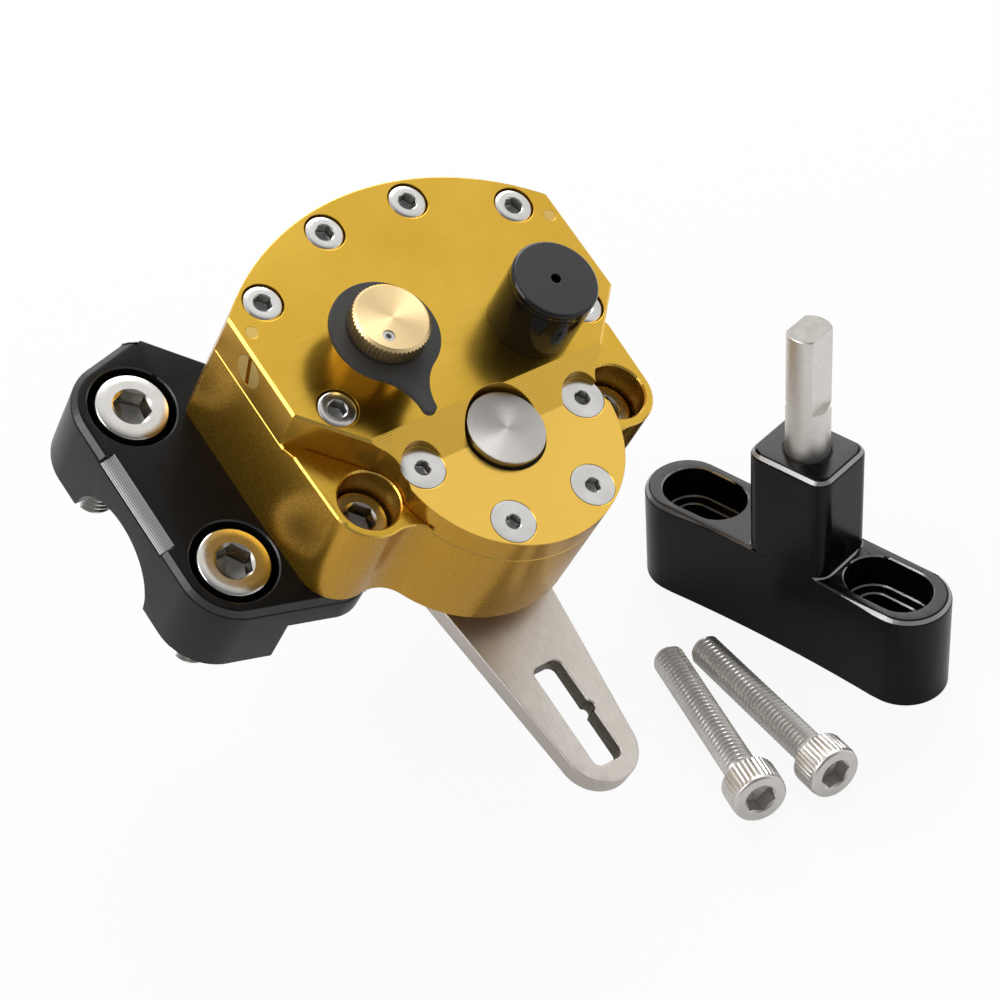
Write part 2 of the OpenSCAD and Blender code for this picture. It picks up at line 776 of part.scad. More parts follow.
// what the housing has beyond the cover's outline: ear, hollow and the side behind the ear
module ear_block(h) {
  translate([ear_x, 0, 0]) cylinder(r = ear_r, h = h);
  linear_extrude(h)
    polygon([[0, 0], [ear_x + ear_r, 0], [half_w, side_y], [half_w, side_y + over], [0, side_y + over]]);
  difference() {
    linear_extrude(h) polygon([[0, over], [0, 0], [hollow_x, hollow_y], [ear_x, 0], [ear_x, over]]);
    translate([hollow_x, hollow_y, -over]) cylinder(r = ear_fillet, h = h + 2 * over);
  }
}

// oil chamber grown by g, standing on z = 0
module chamber(g, h) {
  w = (chamber_wall + g) * [cos(swing), -sin(swing)];
  f = w + 2 * chamber_r * [sin(swing), cos(swing)];
  cylinder(r = hub_r + run_gap + g, h = h);
  intersection() {
    cylinder(r = chamber_r + g, h = h);
    linear_extrude(h) polygon([w, f, [0, 4 * chamber_r], [-f[0], f[1]], [-w[0], w[1]]]);
  }
}

// places of the cover screws
module at_cover_screws() {
  for (a = rear_angles)
    translate([rear_row_r * sin(a), rear_row_r * cos(a), 0]) children();
  for (s = sides)
    translate([s * side_screw_x, side_screw_y, 0]) children();
}

module at_nose_screws() {
  for (a = nose_angles)
    translate([nose_row_r * cos(a), nose_row_r * sin(a), 0]) children();
}

module at_dowels() {
  for (s = sides)
    translate([s * dowel_x, dowel_y, 0]) children();
}

module at_ears() {
  for (s = sides)
    translate([s * ear_x, 0, 0]) children();
}

module at_clamp_bolts() {
  for (y = [clamp_rear_y, clamp_front_y])
    translate([-clamp_bolt_x, y, 0]) children();
}

module at_adjuster() {
  translate([knob_x, knob_y, 0]) children();
}

module at_reservoir() {
  translate([cap_x, cap_y, 0]) children();
}

// relief bore: z runs inwards from the side wall
module at_relief() {
  translate([-half_w, relief_y, relief_z]) rotate([0, 90, 0]) children();
}

// Housing and cover

module body_housing() {
  color(gold) lay() difference() {
    union() {
      translate([0, 0, body_z]) cover_block(body_h, 0);
      translate([0, 0, body_z]) ear_block(body_h + ear_rise);
      translate([0, 0, body_z]) mirror([1, 0, 0]) ear_block(body_h + ear_rise);
    }
    difference() {
      cover_block(ear_rise + over, fit_gap);
      at_ears() translate([0, 0, -over])
        cylinder(r = ear_well_r + ear_clear - fit_gap, h = ear_rise + 3 * over);
    }
    translate([-2 * half_w, 0, 0]) rotate([90, 0, 90]) linear_extrude(4 * half_w)
      polygon([
        [side_y - rise_off, 0], [side_y - rise_off - rise_run, ear_rise],
        [side_y - rise_off - rise_run, ear_rise + over], [2 * side_y, ear_rise + over], [2 * side_y, 0]
      ]);
    translate([0, 0, chamber_z]) chamber(0, chamber_d + over);
    translate([0, 0, -gasket_t]) gasket_ring(gasket_t + over);
    translate([0, 0, lower_seal_z]) cylinder(r = bush_r, h = body_h);
    translate([0, 0, body_z - over]) cylinder(r = shaft_r + lip_gap, h = body_h);
    at_cover_screws() translate([0, 0, cover_seat - cover_screw_l - over])
      cylinder(r = cover_screw_r + tap_gap, h = cover_screw_l + over);
    at_nose_screws() translate([0, 0, nose_t - nose_screw_l - over])
      cylinder(r = nose_screw_r + tap_gap, h = nose_screw_l + over);
    at_dowels() translate([0, 0, cover_t - dowel_l - run_gap])
      cylinder(r = dowel_r + tap_gap, h = dowel_l);
    at_ears() translate([0, 0, ear_seat]) cylinder(r = ear_well_r, h = body_h);
    at_ears() translate([0, 0, body_z - over]) cylinder(r = ear_bolt_r + pass_gap, h = body_h);
  }
}

// cutters that slope the straight top edges on the cover's left
module cover_edges() {
  corner = [-half_w, side_y];
  edge_cut(corner, [-half_w, dowel_y], cover_edge);
  edge_cut([side_y - half_w, 0], corner, cover_edge);
}

module top_cover() {
  rise = (cover_t - nose_t) / ramp_run;
  high = cover_t + over;
  color(gold) lay() difference() {
    cover_block(cover_t, 0);
    translate([-2 * nose_r, 0, 0]) rotate([90, 0, 90]) linear_extrude(4 * nose_r)
      polygon([
        [ramp_y - ramp_run, nose_t], [ramp_y + over / rise, high],
        [-2 * nose_r, high], [-2 * nose_r, nose_t]
      ]);
    translate([0, 0, -over]) cylinder(r = bush_r, h = upper_bush_l + seal_h + over);
    translate([0, 0, -over]) cylinder(r = shaft_r + lip_gap, h = 2 * cover_t);
    translate([0, 0, cover_t]) cover_edges();
    translate([0, 0, cover_t]) mirror([1, 0, 0]) cover_edges();
    at_ears() translate([0, 0, -over]) cylinder(r = ear_well_r + ear_clear, h = 2 * cover_t);
    at_cover_screws() translate([0, 0, -over]) cylinder(r = cover_screw_r + pass_gap, h = 2 * cover_t);
    at_cover_screws() translate([0, 0, cover_seat]) cylinder(r = cover_head_r + head_gap, h = cover_t);
    at_nose_screws() translate([0, 0, -over]) cylinder(r = nose_screw_r + pass_gap, h = 2 * cover_t);
    at_nose_screws() translate([0, 0, nose_t - nose_head_r])
      cylinder(r1 = 0.05, r2 = nose_head_r + 0.05, h = nose_head_r);
    at_nose_screws() translate([0, 0, nose_t - 0.01]) cylinder(r = nose_head_r + 0.05, h = cover_t);
    at_dowels() translate([0, 0, -over]) cylinder(r = dowel_r + tap_gap, h = 2 * cover_t);
    at_adjuster() translate([0, 0, neck_z - 0.3]) cylinder(r = collar_neck_r + tap_gap, h = cover_t);
    at_adjuster() translate([0, 0, -over]) cylinder(r = port_r, h = cover_t);
    at_reservoir() translate([0, 0, cap_neck_z - 0.2]) cylinder(r = cap_neck_r + tap_gap, h = cover_t);
    at_reservoir() translate([0, 0, -over]) cylinder(r = port_r, h = cover_t);
    at_reservoir() translate([0, 0, cover_t - 2 * cap_ring_r]) cap_ring_space();
    at_relief() translate([0, 0, -over]) cylinder(r = relief_r + tap_gap, h = relief_l + over);
    at_relief() cylinder(r = ball_r + fit_gap, h = relief_depth);
    at_relief() cylinder(r = relief_port_r, h = relief_depth + 2 * relief_port_r);
    at_relief() translate([0, 0, relief_depth + 1.6 * relief_port_r]) rotate([0, 90, 0])
      cylinder(r = relief_port_r, h = relief_z + over);
  }
}

// space round the cap's neck that holds its ring seal
module cap_ring_space() {
  difference() {
    cylinder(r = cap_neck_r + 0.2 + 2 * cap_ring_r, h = 2 * cap_ring_r + over);
    translate([0, 0, -over]) cylinder(r = cap_neck_r + 0.2, h = 2 * cap_ring_r + 3 * over);
  }
}

module cover_screws() {
  color(steel) lay() at_cover_screws() translate([0, 0, cover_seat])
    socket_screw(cover_screw_r, cover_screw_l, cover_head_r, cover_head_h, cover_key);
}

module nose_screws() {
  color(steel) lay() at_nose_screws() translate([0, 0, nose_t])
    flat_screw(nose_screw_r, nose_screw_l, nose_head_r, nose_key);
}

module dowel_pins() {
  color(brass) lay() at_dowels() translate([0, 0, cover_t - dowel_l])
    cylinder(r = dowel_r, h = dowel_l);
}

// band round the chamber in the housing's top face
module gasket_ring(h) {
  difference() {
    chamber(gasket_off + gasket_w, h);
    translate([0, 0, -over]) chamber(gasket_off, h + 2 * over);
  }
}

module cover_gasket() {
  color(rubber) lay() translate([0, 0, -gasket_t]) gasket_ring(gasket_t);
}

// sleeve round the shaft
module sleeve(h) {
  difference() {
    cylinder(r = bush_r, h = h);
    translate([0, 0, -over]) cylinder(r = shaft_r + fit_gap, h = h + 2 * over);
  }
}

module upper_bush() {
  color(bronze) lay() sleeve(upper_bush_l);
}

module lower_bush() {
  color(bronze) lay() translate([0, 0, lower_bush_z]) sleeve(lower_bush_l);
}

module upper_seal() {
  color(rubber) lay() translate([0, 0, upper_bush_l]) sleeve(seal_h);
}

module lower_seal() {
  color(rubber) lay() translate([0, 0, lower_seal_z]) sleeve(seal_h);
}

// Relief valve

module relief_plug() {
  color(brass) lay() at_relief() difference() {
    cylinder(r = relief_r, h = relief_l);
    rotate([0, 0, 75]) translate([-driver_slot_w / 2, -2 * relief_r, -over])
      cube([driver_slot_w, 4 * relief_r, driver_slot_d + over]);
  }
}

module relief_ball() {
  color(steel) lay() at_relief() translate([0, 0, ball_place]) sphere(r = ball_r);
}

module relief_spring() {
  color(steel) lay() at_relief() translate([0, 0, relief_l + 0.02])
    coil(relief_coil_r, relief_wire, relief_spring_l, relief_turns);
}

// Adjuster

module valve_collar() {
  color(brass) lay() at_adjuster() difference() {
    union() {
      translate([0, 0, neck_z]) cylinder(r = collar_neck_r, h = collar_neck_l + over);
      translate([0, 0, cover_t]) cylinder(r = collar_r, h = collar_h);
      translate([0, 0, cover_t]) cylinder(r = spigot_r, h = spigot_top - cover_t);
    }
    translate([0, 0, neck_z - over]) cylinder(r = needle_r + fit_gap, h = cover_t + collar_h);
    translate([0, 0, spindle_z - run_gap]) cylinder(r = spindle_r + fit_gap, h = cover_t + collar_h);
  }
}

module valve_spindle() {
  color(steel) lay() at_adjuster() difference() {
    union() {
      translate([0, 0, spindle_z]) cylinder(r = spindle_r, h = knob_z - spindle_z);
      translate([0, 0, spindle_z]) cylinder(r = spindle_top_r, h = knob_z - spindle_z + knob_bore);
    }
    translate([0, 0, spindle_z - over]) cylinder(r = stem_r + fit_gap, h = knob_z - spindle_z + 0.4);
    translate([0, 0, spindle_z + spindle_ring_up]) ring_groove(spindle_r, valve_ring_r);
  }
}

module spindle_ring() {
  color(rubber) lay() at_adjuster() translate([0, 0, spindle_z + spindle_ring_up])
    ring_seal(spindle_r - valve_ring_r, valve_ring_r);
}

module needle_valve() {
  taper_z = needle_z + needle_taper;
  color(steel) lay() at_adjuster() difference() {
    rotate_extrude()
      polygon([
        [0, needle_z], [port_r / 4, needle_z], [port_r - 0.1, taper_z], [needle_r, taper_z],
        [needle_r, needle_top], [stem_r, needle_top], [stem_r, stem_top], [0, stem_top]
      ]);
    translate([0, 0, needle_top - needle_ring_down]) ring_groove(needle_r, valve_ring_r);
  }
}

module needle_ring() {
  color(rubber) lay() at_adjuster() translate([0, 0, needle_top - needle_ring_down])
    ring_seal(needle_r - valve_ring_r, valve_ring_r);
}

module pointer_ring() {
  reach = pointer_l - pointer_tip_r;
  ca = pointer_r + pointer_flank;
  cb = pointer_tip_r + pointer_flank;
  fy = -(ca * ca - cb * cb + reach * reach) / (2 * reach);
  fx = sqrt(ca * ca - fy * fy);
  color(black) lay() at_adjuster() translate([0, 0, pointer_z]) rotate([0, 0, pointer_turn]) difference() {
    union() {
      cylinder(r = pointer_r, h = pointer_t);
      translate([0, -reach, 0]) cylinder(r = pointer_tip_r, h = pointer_t);
      difference() {
        linear_extrude(pointer_t) polygon([[0, 0], [-fx, fy], [0, -reach], [fx, fy]]);
        for (s = sides)
          translate([s * fx, fy, -over]) cylinder(r = pointer_flank, h = pointer_t + 2 * over);
      }
    }
    translate([0, 0, -over]) cylinder(r = spigot_r + fit_gap, h = pointer_t + 2 * over);
  }
}

module at_grub() {
  translate([-grub_off * cos(46), -grub_off * sin(46), knob_z + knob_h]) children();
}

module adjuster_knob() {
  ridge = [
    for (i = [0 : 2 * knurls - 1])
      (knob_r - knurl_d * (i % 2)) * [cos(180 * i / knurls), sin(180 * i / knurls)]
  ];
  color(brass) lay() at_adjuster() difference() {
    intersection() {
      translate([0, 0, knob_z]) linear_extrude(knob_h) polygon(ridge);
      translate([0, 0, knob_z]) rotate_extrude()
        polygon([
          [0, 0], [knob_r + over, 0], [knob_r + over, knob_h - knob_edge - over],
          [knob_r - knob_edge, knob_h], [0, knob_h]
        ]);
    }
    translate([0, 0, knob_z - over]) cylinder(r = spindle_top_r + tap_gap, h = knob_bore + over + tap_gap);
    at_grub() translate([0, 0, -grub_l - 0.1]) cylinder(r = grub_r + tap_gap, h = grub_l + over);
  }
}

module knob_grub_screw() {
  color(steel) lay() at_adjuster() at_grub() translate([0, 0, -grub_l - 0.1]) difference() {
    cylinder(r = grub_r, h = grub_l - 0.1);
    translate([0, 0, grub_l - 1.1]) cylinder(d = 0.9 / cos(30), h = 2, $fn = 6);
  }
}

// Reservoir

module reservoir_cap() {
  line = cap_h - cap_line_z;
  color(black) lay() at_reservoir() difference() {
    union() {
      translate([0, 0, cover_t]) rotate_extrude()
        polygon([
          [0, 0], [cap_r, 0], [cap_r, line - cap_line_w],
          [cap_r - cap_line_d, line - cap_line_w + cap_line_d / 2],
          [cap_r - cap_line_d, line - cap_line_d / 2], [cap_r, line],
          [cap_r, cap_h - cap_edge], [cap_r - cap_edge, cap_h], [0, cap_h]
        ]);
      translate([0, 0, cap_neck_z]) cylinder(r = cap_neck_r, h = cap_neck_l + over);
    }
    translate([0, 0, cap_neck_z - over]) cylinder(r = res_bore_r, h = cap_roof_z - cap_neck_z + over);
    cylinder(r = vent_r, h = cap_top + over);
  }
}

module cap_seal() {
  color(rubber) lay() at_reservoir() translate([0, 0, cover_t - cap_ring_r])
    ring_seal(cap_neck_r + 0.2 + cap_ring_r, cap_ring_r);
}

module reservoir_piston() {
  color(steel) lay() at_reservoir() difference() {
    translate([0, 0, piston_z]) cylinder(r = res_bore_r - fit_gap, h = piston_h);
    translate([0, 0, piston_z + piston_h / 2]) ring_groove(res_bore_r - fit_gap, piston_ring_r);
  }
}

module piston_ring() {
  color(rubber) lay() at_reservoir() translate([0, 0, piston_z + piston_h / 2])
    ring_seal(res_bore_r - fit_gap - piston_ring_r, piston_ring_r);
}

module reservoir_spring() {
  color(steel) lay() at_reservoir() translate([0, 0, piston_top + 0.02])
    coil(res_coil_r, res_wire, res_spring_l, res_turns);
}

// Vane, shaft and arm

// strip that seals the vane's two edges and its end
module seal_strip() {
  low = chamber_z + fit_gap;
  high = chamber_d - 2 * fit_gap;
  intersection() {
    translate([0, 0, low]) cylinder(r = chamber_r - fit_gap, h = high);
    difference() {
      translate([-vane_seal_t / 2, vane_seal_in, low]) cube([vane_seal_t, chamber_r, high]);
      translate([-vane_seal_t, 0, low + vane_seal_w])
        cube([2 * vane_seal_t, chamber_r - vane_seal_w, high - 2 * vane_seal_w]);
    }
  }
}

module vane_shaft() {
  vane_z = chamber_z + run_gap;
  vane_h = chamber_d - 2 * run_gap;
  shaft_top = nose_t + shaft_proud;
  drive_z = arm_z + drive_short;
  color(steel) lay() difference() {
    union() {
      translate([0, 0, boss_z]) cylinder(r = shaft_r, h = shaft_top - boss_z);
      translate([0, 0, vane_z]) cylinder(r = hub_r, h = vane_h);
      intersection() {
        translate([0, 0, vane_z]) cylinder(r = chamber_r - run_gap, h = vane_h);
        translate([-vane_t / 2, 0, vane_z]) cube([vane_t, chamber_r, vane_h]);
      }
      translate([-drive_w / 2, -drive_w / 2, drive_z]) cube([drive_w, drive_w, boss_z - drive_z + over]);
    }
    seal_strip();
    translate([0, 0, drive_z - over]) cylinder(r = arm_bolt_r + tap_gap, h = arm_bolt_l + over);
  }
}

module vane_seal() {
  color(rubber) lay() seal_strip();
}

module link_arm() {
  hole = drive_w + 2 * tap_gap;
  slot_mid = arm_l + arm_tip_r - arm_rim - arm_slot_l / 2;
  color(steel) lay() translate([0, 0, arm_z]) difference() {
    union() {
      link([0, 0], arm_hub_r, [0, -arm_l], arm_tip_r, arm_t);
      cylinder(r = arm_boss_r, h = boss_z - arm_z);
    }
    translate([-hole / 2, -hole / 2, -over]) cube([hole, hole, body_h]);
    translate([0, -slot_mid, -over])
      round_block(arm_slot_w, arm_slot_l, arm_t + 2 * over, arm_slot_corner);
    translate([arm_slot_w / 2 - 0.2, -slot_mid, -over]) cylinder(r = slot_nick_r, h = arm_t + 2 * over);
  }
}

module arm_washer() {
  color(steel) lay() translate([0, 0, arm_z - arm_washer_t]) difference() {
    cylinder(r = arm_washer_r, h = arm_washer_t);
    translate([0, 0, -over]) cylinder(r = arm_bolt_r + pass_gap, h = arm_washer_t + 2 * over);
  }
}

module arm_bolt() {
  color(steel) lay() translate([0, 0, arm_z - arm_washer_t]) rotate([180, 0, 0])
    socket_screw(arm_bolt_r, arm_bolt_l, arm_bolt_head_r, arm_bolt_head_h, arm_bolt_key);
}

// Bar clamp

// left part of the clamp: round-ended leg, arm to the left ear and half of the bridge
module clamp_left(h) {
  translate([-clamp_bolt_x, bar_y, 0]) rotate([0, 0, 90])
    bevel_slot(clamp_bolt_off, clamp_boss_r, h, clamp_edge);
  translate([-ear_x, 0, 0]) cylinder(r = clamp_ear_r, h = h);
  web(clamp_ear, clamp_ear_r, clamp_front, clamp_boss_r, h);
  translate([clamp_tail[0], clamp_tail[1], 0]) bevel_post(tail_r, h, clamp_edge);
  web(clamp_rear, clamp_boss_r, clamp_tail, tail_r, h);
  linear_extrude(h)
    polygon([
      [0, bridge_front], [clamp_ear_r - ear_x, bridge_front], [clamp_ear_r - ear_x, 0],
      [-clamp_bolt_x, 0], clamp_rear, clamp_tail, clamp_tail + (tail_r - web_inset) * tail_side,
      clamp_slope, [0, bridge_rear]
    ]);
}

// right part of the clamp: the rest of the bridge, under the right ear
module clamp_right(h) {
  translate([ear_x, 0, 0]) cylinder(r = clamp_ear_r, h = h);
  linear_extrude(h)
    polygon([
      [0, bridge_front], [ear_x - clamp_ear_r, bridge_front], [ear_x - clamp_ear_r, 0],
      [bridge_end, 0], [bridge_end, bridge_rear], [0, bridge_rear]
    ]);
}

module bar_clamp() {
  side = tangent(clamp_ear, clamp_ear_r, clamp_front, clamp_boss_r, 1);
  rear_side = tangent(clamp_rear, clamp_boss_r, clamp_tail, tail_r, 1);
  color(black) lay() difference() {
    union() {
      difference() {
        translate([0, 0, clamp_z]) clamp_left(clamp_h);
        translate([-leg_in, -2 * nose_r, clamp_z - over])
          cube([leg_in + over, 2 * nose_r + 2 * rear_r, clamp_h - bridge_t + over]);
      }
      at_clamp_bolts() translate([0, 0, clamp_seat - well_floor])
        cylinder(r = clamp_well_r + well_wall, h = well_floor + clamp_well_d - over);
      translate([0, 0, body_z - bridge_t]) clamp_right(bridge_t);
      translate([bridge_end - foot_w, bar_y - foot_half, clamp_z]) cube([foot_w, 2 * foot_half, clamp_h]);
    }
    translate([-clamp_end - over, bar_y, bar_z]) rotate([0, 90, 0])
      cylinder(r = bar_r, h = 2 * (clamp_end + over));
    at_clamp_bolts() translate([0, 0, clamp_seat]) cylinder(r = clamp_well_r, h = clamp_h);
    at_clamp_bolts() translate([0, 0, clamp_z - over]) cylinder(r = clamp_bolt_r + pass_gap, h = clamp_h);
    at_ears() translate([0, 0, body_z - bridge_t - over]) cylinder(r = ear_bolt_r + tap_gap, h = clamp_h);
    translate([0, 0, body_z]) {
      edge_cut(clamp_rear + clamp_boss_r * rear_side, clamp_tail + tail_r * rear_side, clamp_edge);
      edge_cut(clamp_ear + clamp_ear_r * side, clamp_front + clamp_boss_r * side, clamp_edge);
    }
    translate([-clamp_end, bar_y + waist_half, body_z]) rotate([90, 0, 0]) linear_extrude(2 * waist_half)
      polygon([[waist_w, 0], [0, -waist_d], [-over, -waist_d], [-over, over], [waist_w, over]]);
  }
}

module clamp_bolts() {
  color(steel) lay() at_clamp_bolts() translate([0, 0, clamp_seat])
    socket_screw(clamp_bolt_r, clamp_bolt_l, clamp_head_r, clamp_head_h, clamp_key);
}

module body_bolts() {
  color(steel) lay() at_ears() translate([0, 0, ear_seat])
    socket_screw(ear_bolt_r, ear_bolt_l, ear_head_r, ear_head_h, ear_key);
}

// Tower bracket

// slot along X, standing on z = 0
module long_slot(l, w, h) {
  translate([(w - l) / 2, -w / 2, 0]) cube([l - w, w, h]);
  for (s = sides)
    translate([s * (l - w) / 2, 0, 0]) cylinder(r = w / 2, h = h);
}

module tower_bracket() {
  color(black) difference() {
    union() {
      difference() {
        bevel_slot(base_end_x, base_end_r, base_h, tower_edge);
        for (s = sides)
          translate([0, s * (base_hollow + base_waist), -over])
            cylinder(r = base_hollow, h = base_h + 2 * over, $fn = 720);
      }
      translate([pin_x, 0, 0]) bevel_block(block_w, 2 * base_waist, block_top, block_corner, tower_edge);
    }
    for (s = sides)
      translate([s * slot_x, 0, base_h - well_d]) long_slot(well_l, well_w, block_top);
    for (s = sides)
      translate([s * slot_x, 0, -over]) long_slot(slot_l, slot_w, base_h);
    translate([pin_x, 0, pin_floor]) cylinder(r = pin_r + fit_gap, h = block_top);
    translate([pin_x, 0, block_top - mouth_edge])
      cylinder(r1 = pin_r + fit_gap, r2 = pin_r + fit_gap + 2 * mouth_edge, h = 2 * mouth_edge);
  }
}

module tower_pin() {
  low = pin_floor + run_gap;
  color(steel) translate([pin_x, 0, 0]) difference() {
    rotate_extrude()
      polygon([
        [0, low], [pin_r - pin_edge, low], [pin_r, low + pin_edge],
        [pin_r, pin_top - pin_edge], [pin_r - pin_edge, pin_top], [0, pin_top]
      ]);
    for (s = sides)
      translate([s * (pin_flats / 2 + pin_r), 0, pin_top - pin_flat_l / 2 + over])
        cube([2 * pin_r, 4 * pin_r, pin_flat_l + 2 * over], center = true);
    translate([0, 0, block_top - pin_ring_z]) ring_groove(pin_r, pin_ring_r);
  }
}

module pin_ring() {
  color(rubber) translate([pin_x, 0, block_top - pin_ring_z]) ring_seal(pin_r - pin_ring_r, pin_ring_r);
}

// Loose screws, each lying on the rim of its head and on its tip

module loose_screw() {
  rotate([0, 90 - screw_lean, 0]) {
    thread_shank(tower_screw_r, tower_screw_l + tower_head_h / 4, tower_pitch, tower_thread_d);
    translate([0, 0, tower_screw_l]) socket_head(tower_head_r, tower_head_h, tower_key);
  }
}

module tower_screws() {
  rest = tower_screw_r * cos(screw_lean) + 0.02;
  color(steel) translate([near_tip_x, near_tip_y, rest]) rotate([0, 0, near_turn]) loose_screw();
  color(steel) translate([far_tip_x, far_tip_y, rest]) rotate([0, 0, far_turn]) loose_screw();
}

echo(
  reservoir_spring_self_gap = coil_self_gap(res_coil_r, res_wire, res_spring_l, res_turns),
  relief_spring_self_gap = coil_self_gap(relief_coil_r, relief_wire, relief_spring_l, relief_turns)
);

body_housing();
top_cover();
cover_screws();
nose_screws();
dowel_pins();
cover_gasket();
upper_bush();
lower_bush();
upper_seal();
lower_seal();
relief_plug();
relief_ball();
relief_spring();
valve_collar();
reservoir_cap();
cap_seal();
reservoir_piston();
piston_ring();
reservoir_spring();
vane_shaft();
vane_seal();
link_arm();
arm_washer();
arm_bolt();
adjuster_knob();
knob_grub_screw();
valve_spindle();
spindle_ring();
needle_valve();
needle_ring();
pointer_ring();
bar_clamp();
clamp_bolts();
body_bolts();
tower_bracket();
tower_pin();
pin_ring();
tower_screws();
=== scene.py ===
import bpy
from math import atan, cos, pi, radians, sin, sqrt
from mathutils import Euler, Matrix, Vector


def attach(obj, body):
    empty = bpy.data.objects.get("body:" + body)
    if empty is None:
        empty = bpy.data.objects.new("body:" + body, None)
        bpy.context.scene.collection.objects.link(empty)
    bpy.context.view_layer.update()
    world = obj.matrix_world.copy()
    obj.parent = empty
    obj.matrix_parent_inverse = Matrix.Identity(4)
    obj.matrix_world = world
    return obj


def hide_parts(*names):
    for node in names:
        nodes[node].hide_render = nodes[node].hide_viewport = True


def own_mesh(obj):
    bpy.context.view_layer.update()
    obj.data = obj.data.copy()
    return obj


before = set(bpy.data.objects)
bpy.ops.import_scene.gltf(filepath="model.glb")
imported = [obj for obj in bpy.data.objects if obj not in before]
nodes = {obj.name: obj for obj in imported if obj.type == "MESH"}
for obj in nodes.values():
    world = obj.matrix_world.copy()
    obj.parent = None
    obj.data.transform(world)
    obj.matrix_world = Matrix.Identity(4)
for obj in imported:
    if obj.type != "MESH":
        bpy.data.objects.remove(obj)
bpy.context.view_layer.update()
scene = bpy.context.scene
scene.view_settings.view_transform = "Standard"
MM = 0.001

# The damper's own frame, as the CAD source lays it: shaft along z, parting plane at z = 0, nose towards -y.
PITCH, ROLL, TURN = 27.0, 7.3, 80.3
ARM_REACH, ARM_LOW, TIP_GAP = 54.75, -28.7, 8.3
tip_drop = sin(radians(PITCH)) * ARM_REACH - cos(radians(PITCH)) * ARM_LOW
LAY_AT = Vector((-28.2, -46.8, TIP_GAP + cos(radians(ROLL)) * tip_drop)) * MM
LAY_TURN = Euler((radians(PITCH), radians(ROLL), radians(TURN)))
LAY = Matrix.Translation(LAY_AT) @ LAY_TURN.to_matrix().to_4x4()


def at(x, y, z, turn=0.0):
    """A place in the damper's own frame, in millimetres, turned about its z axis."""
    return LAY @ Matrix.Translation(Vector((x, y, z)) * MM) @ Matrix.Rotation(radians(turn), 4, "Z")


# Sizes of the CAD source that the looks, the screws and the springs follow, in millimetres
RAMP_FROM, RAMP_RUN, RAMP_RISE, NOSE_Z = 0.1, 6.7, 3.4, 5.1
FLAT_X, FLAT_Z, FLAT_RUN, FLAT_RISE, FLAT_HALF = -52.4, -21.6, 2.5, 1.6, 9.6
SLOT_Y, SLOT_NEAR_X, SLOT_NEAR_Y = -40.8, 4.1, 10.5
KNOB_X, KNOB_Y, CAP_TOP = -15.4, 20.1, 21.2
ROW_R, ROW_TURNS, SIDE_X, SIDE_Y, COVER_SEAT = 45.1, (-36.4, -11.3, 11.3, 36.4), 26.4, 14.0, 4.4
NOSE_ROW_R, EAR_X, EAR_SEAT = 17.2, 26.7, -10.5
CLAMP_X, BAR_Y, CLAMP_OFF, CLAMP_SEAT = -42.0, 23.9, 16.4, -28.0
M4_R, M4_L, M4_HEAD_R, M4_HEAD_H, M4_KEY = 2.0, 12.0, 3.5, 4.0, 3.0
M6_R, M6_L, M6_HEAD_R, M6_HEAD_H, M6_KEY, M6_THREAD = 3.0, 35.0, 5.0, 6.0, 5.0, 0.5
M8_R, M8_L, M8_HEAD_R, M8_HEAD_H, M8_KEY, M8_THREAD = 4.0, 22.0, 6.5, 8.0, 6.0, 0.62
NOSE_L, NOSE_HEAD_R, NOSE_KEY, EAR_L = 11.0, 3.93, 2.5, 15.5
RES_X, RES_Y, RES_FLOOR, RES_ROOF = 15.3, 15.2, 11.0, 19.4
RELIEF_X, RELIEF_Y, RELIEF_Z, PLUG_L = -34.18, 27.5, 4.7, 4.0
BALL_R, SEAT_R, SEAT_DEPTH, PLAY = 1.75, 1.0, 10.7, 0.02

# Distance from a milled face that still counts as on it, the step of its cutter lines, and the depth of the
# grain of metal and plastic, in metres
ON_RAMP, RAMP_LINES = 0.06 * MM, 0.40 * MM
ON_FLAT, FLAT_LINES = 0.07 * MM, 0.30 * MM
GRAIN = 0.00003

# Camera, fitted to the photograph

right = Vector((0.75868567, 0.64909101, -0.05546986))
up = Vector((-0.39259083, 0.52349932, 0.7561884))
back = Vector((0.51987353, -0.55193235, 0.65199862))
offset = Vector((53.99090964, -21.94712968, -550.83092486)) * MM
camera = bpy.data.objects.new("camera", bpy.data.cameras.new("camera"))
camera.data.lens, camera.data.sensor_width = 108.0, 36.0
camera.data.clip_start, camera.data.clip_end = 0.01, 20.0
turned = Matrix((right, up, back)).transposed()
camera.matrix_world = Matrix.Translation(-(turned @ offset)) @ turned.to_4x4()
scene.collection.objects.link(camera)
scene.camera = camera


# Node graphs

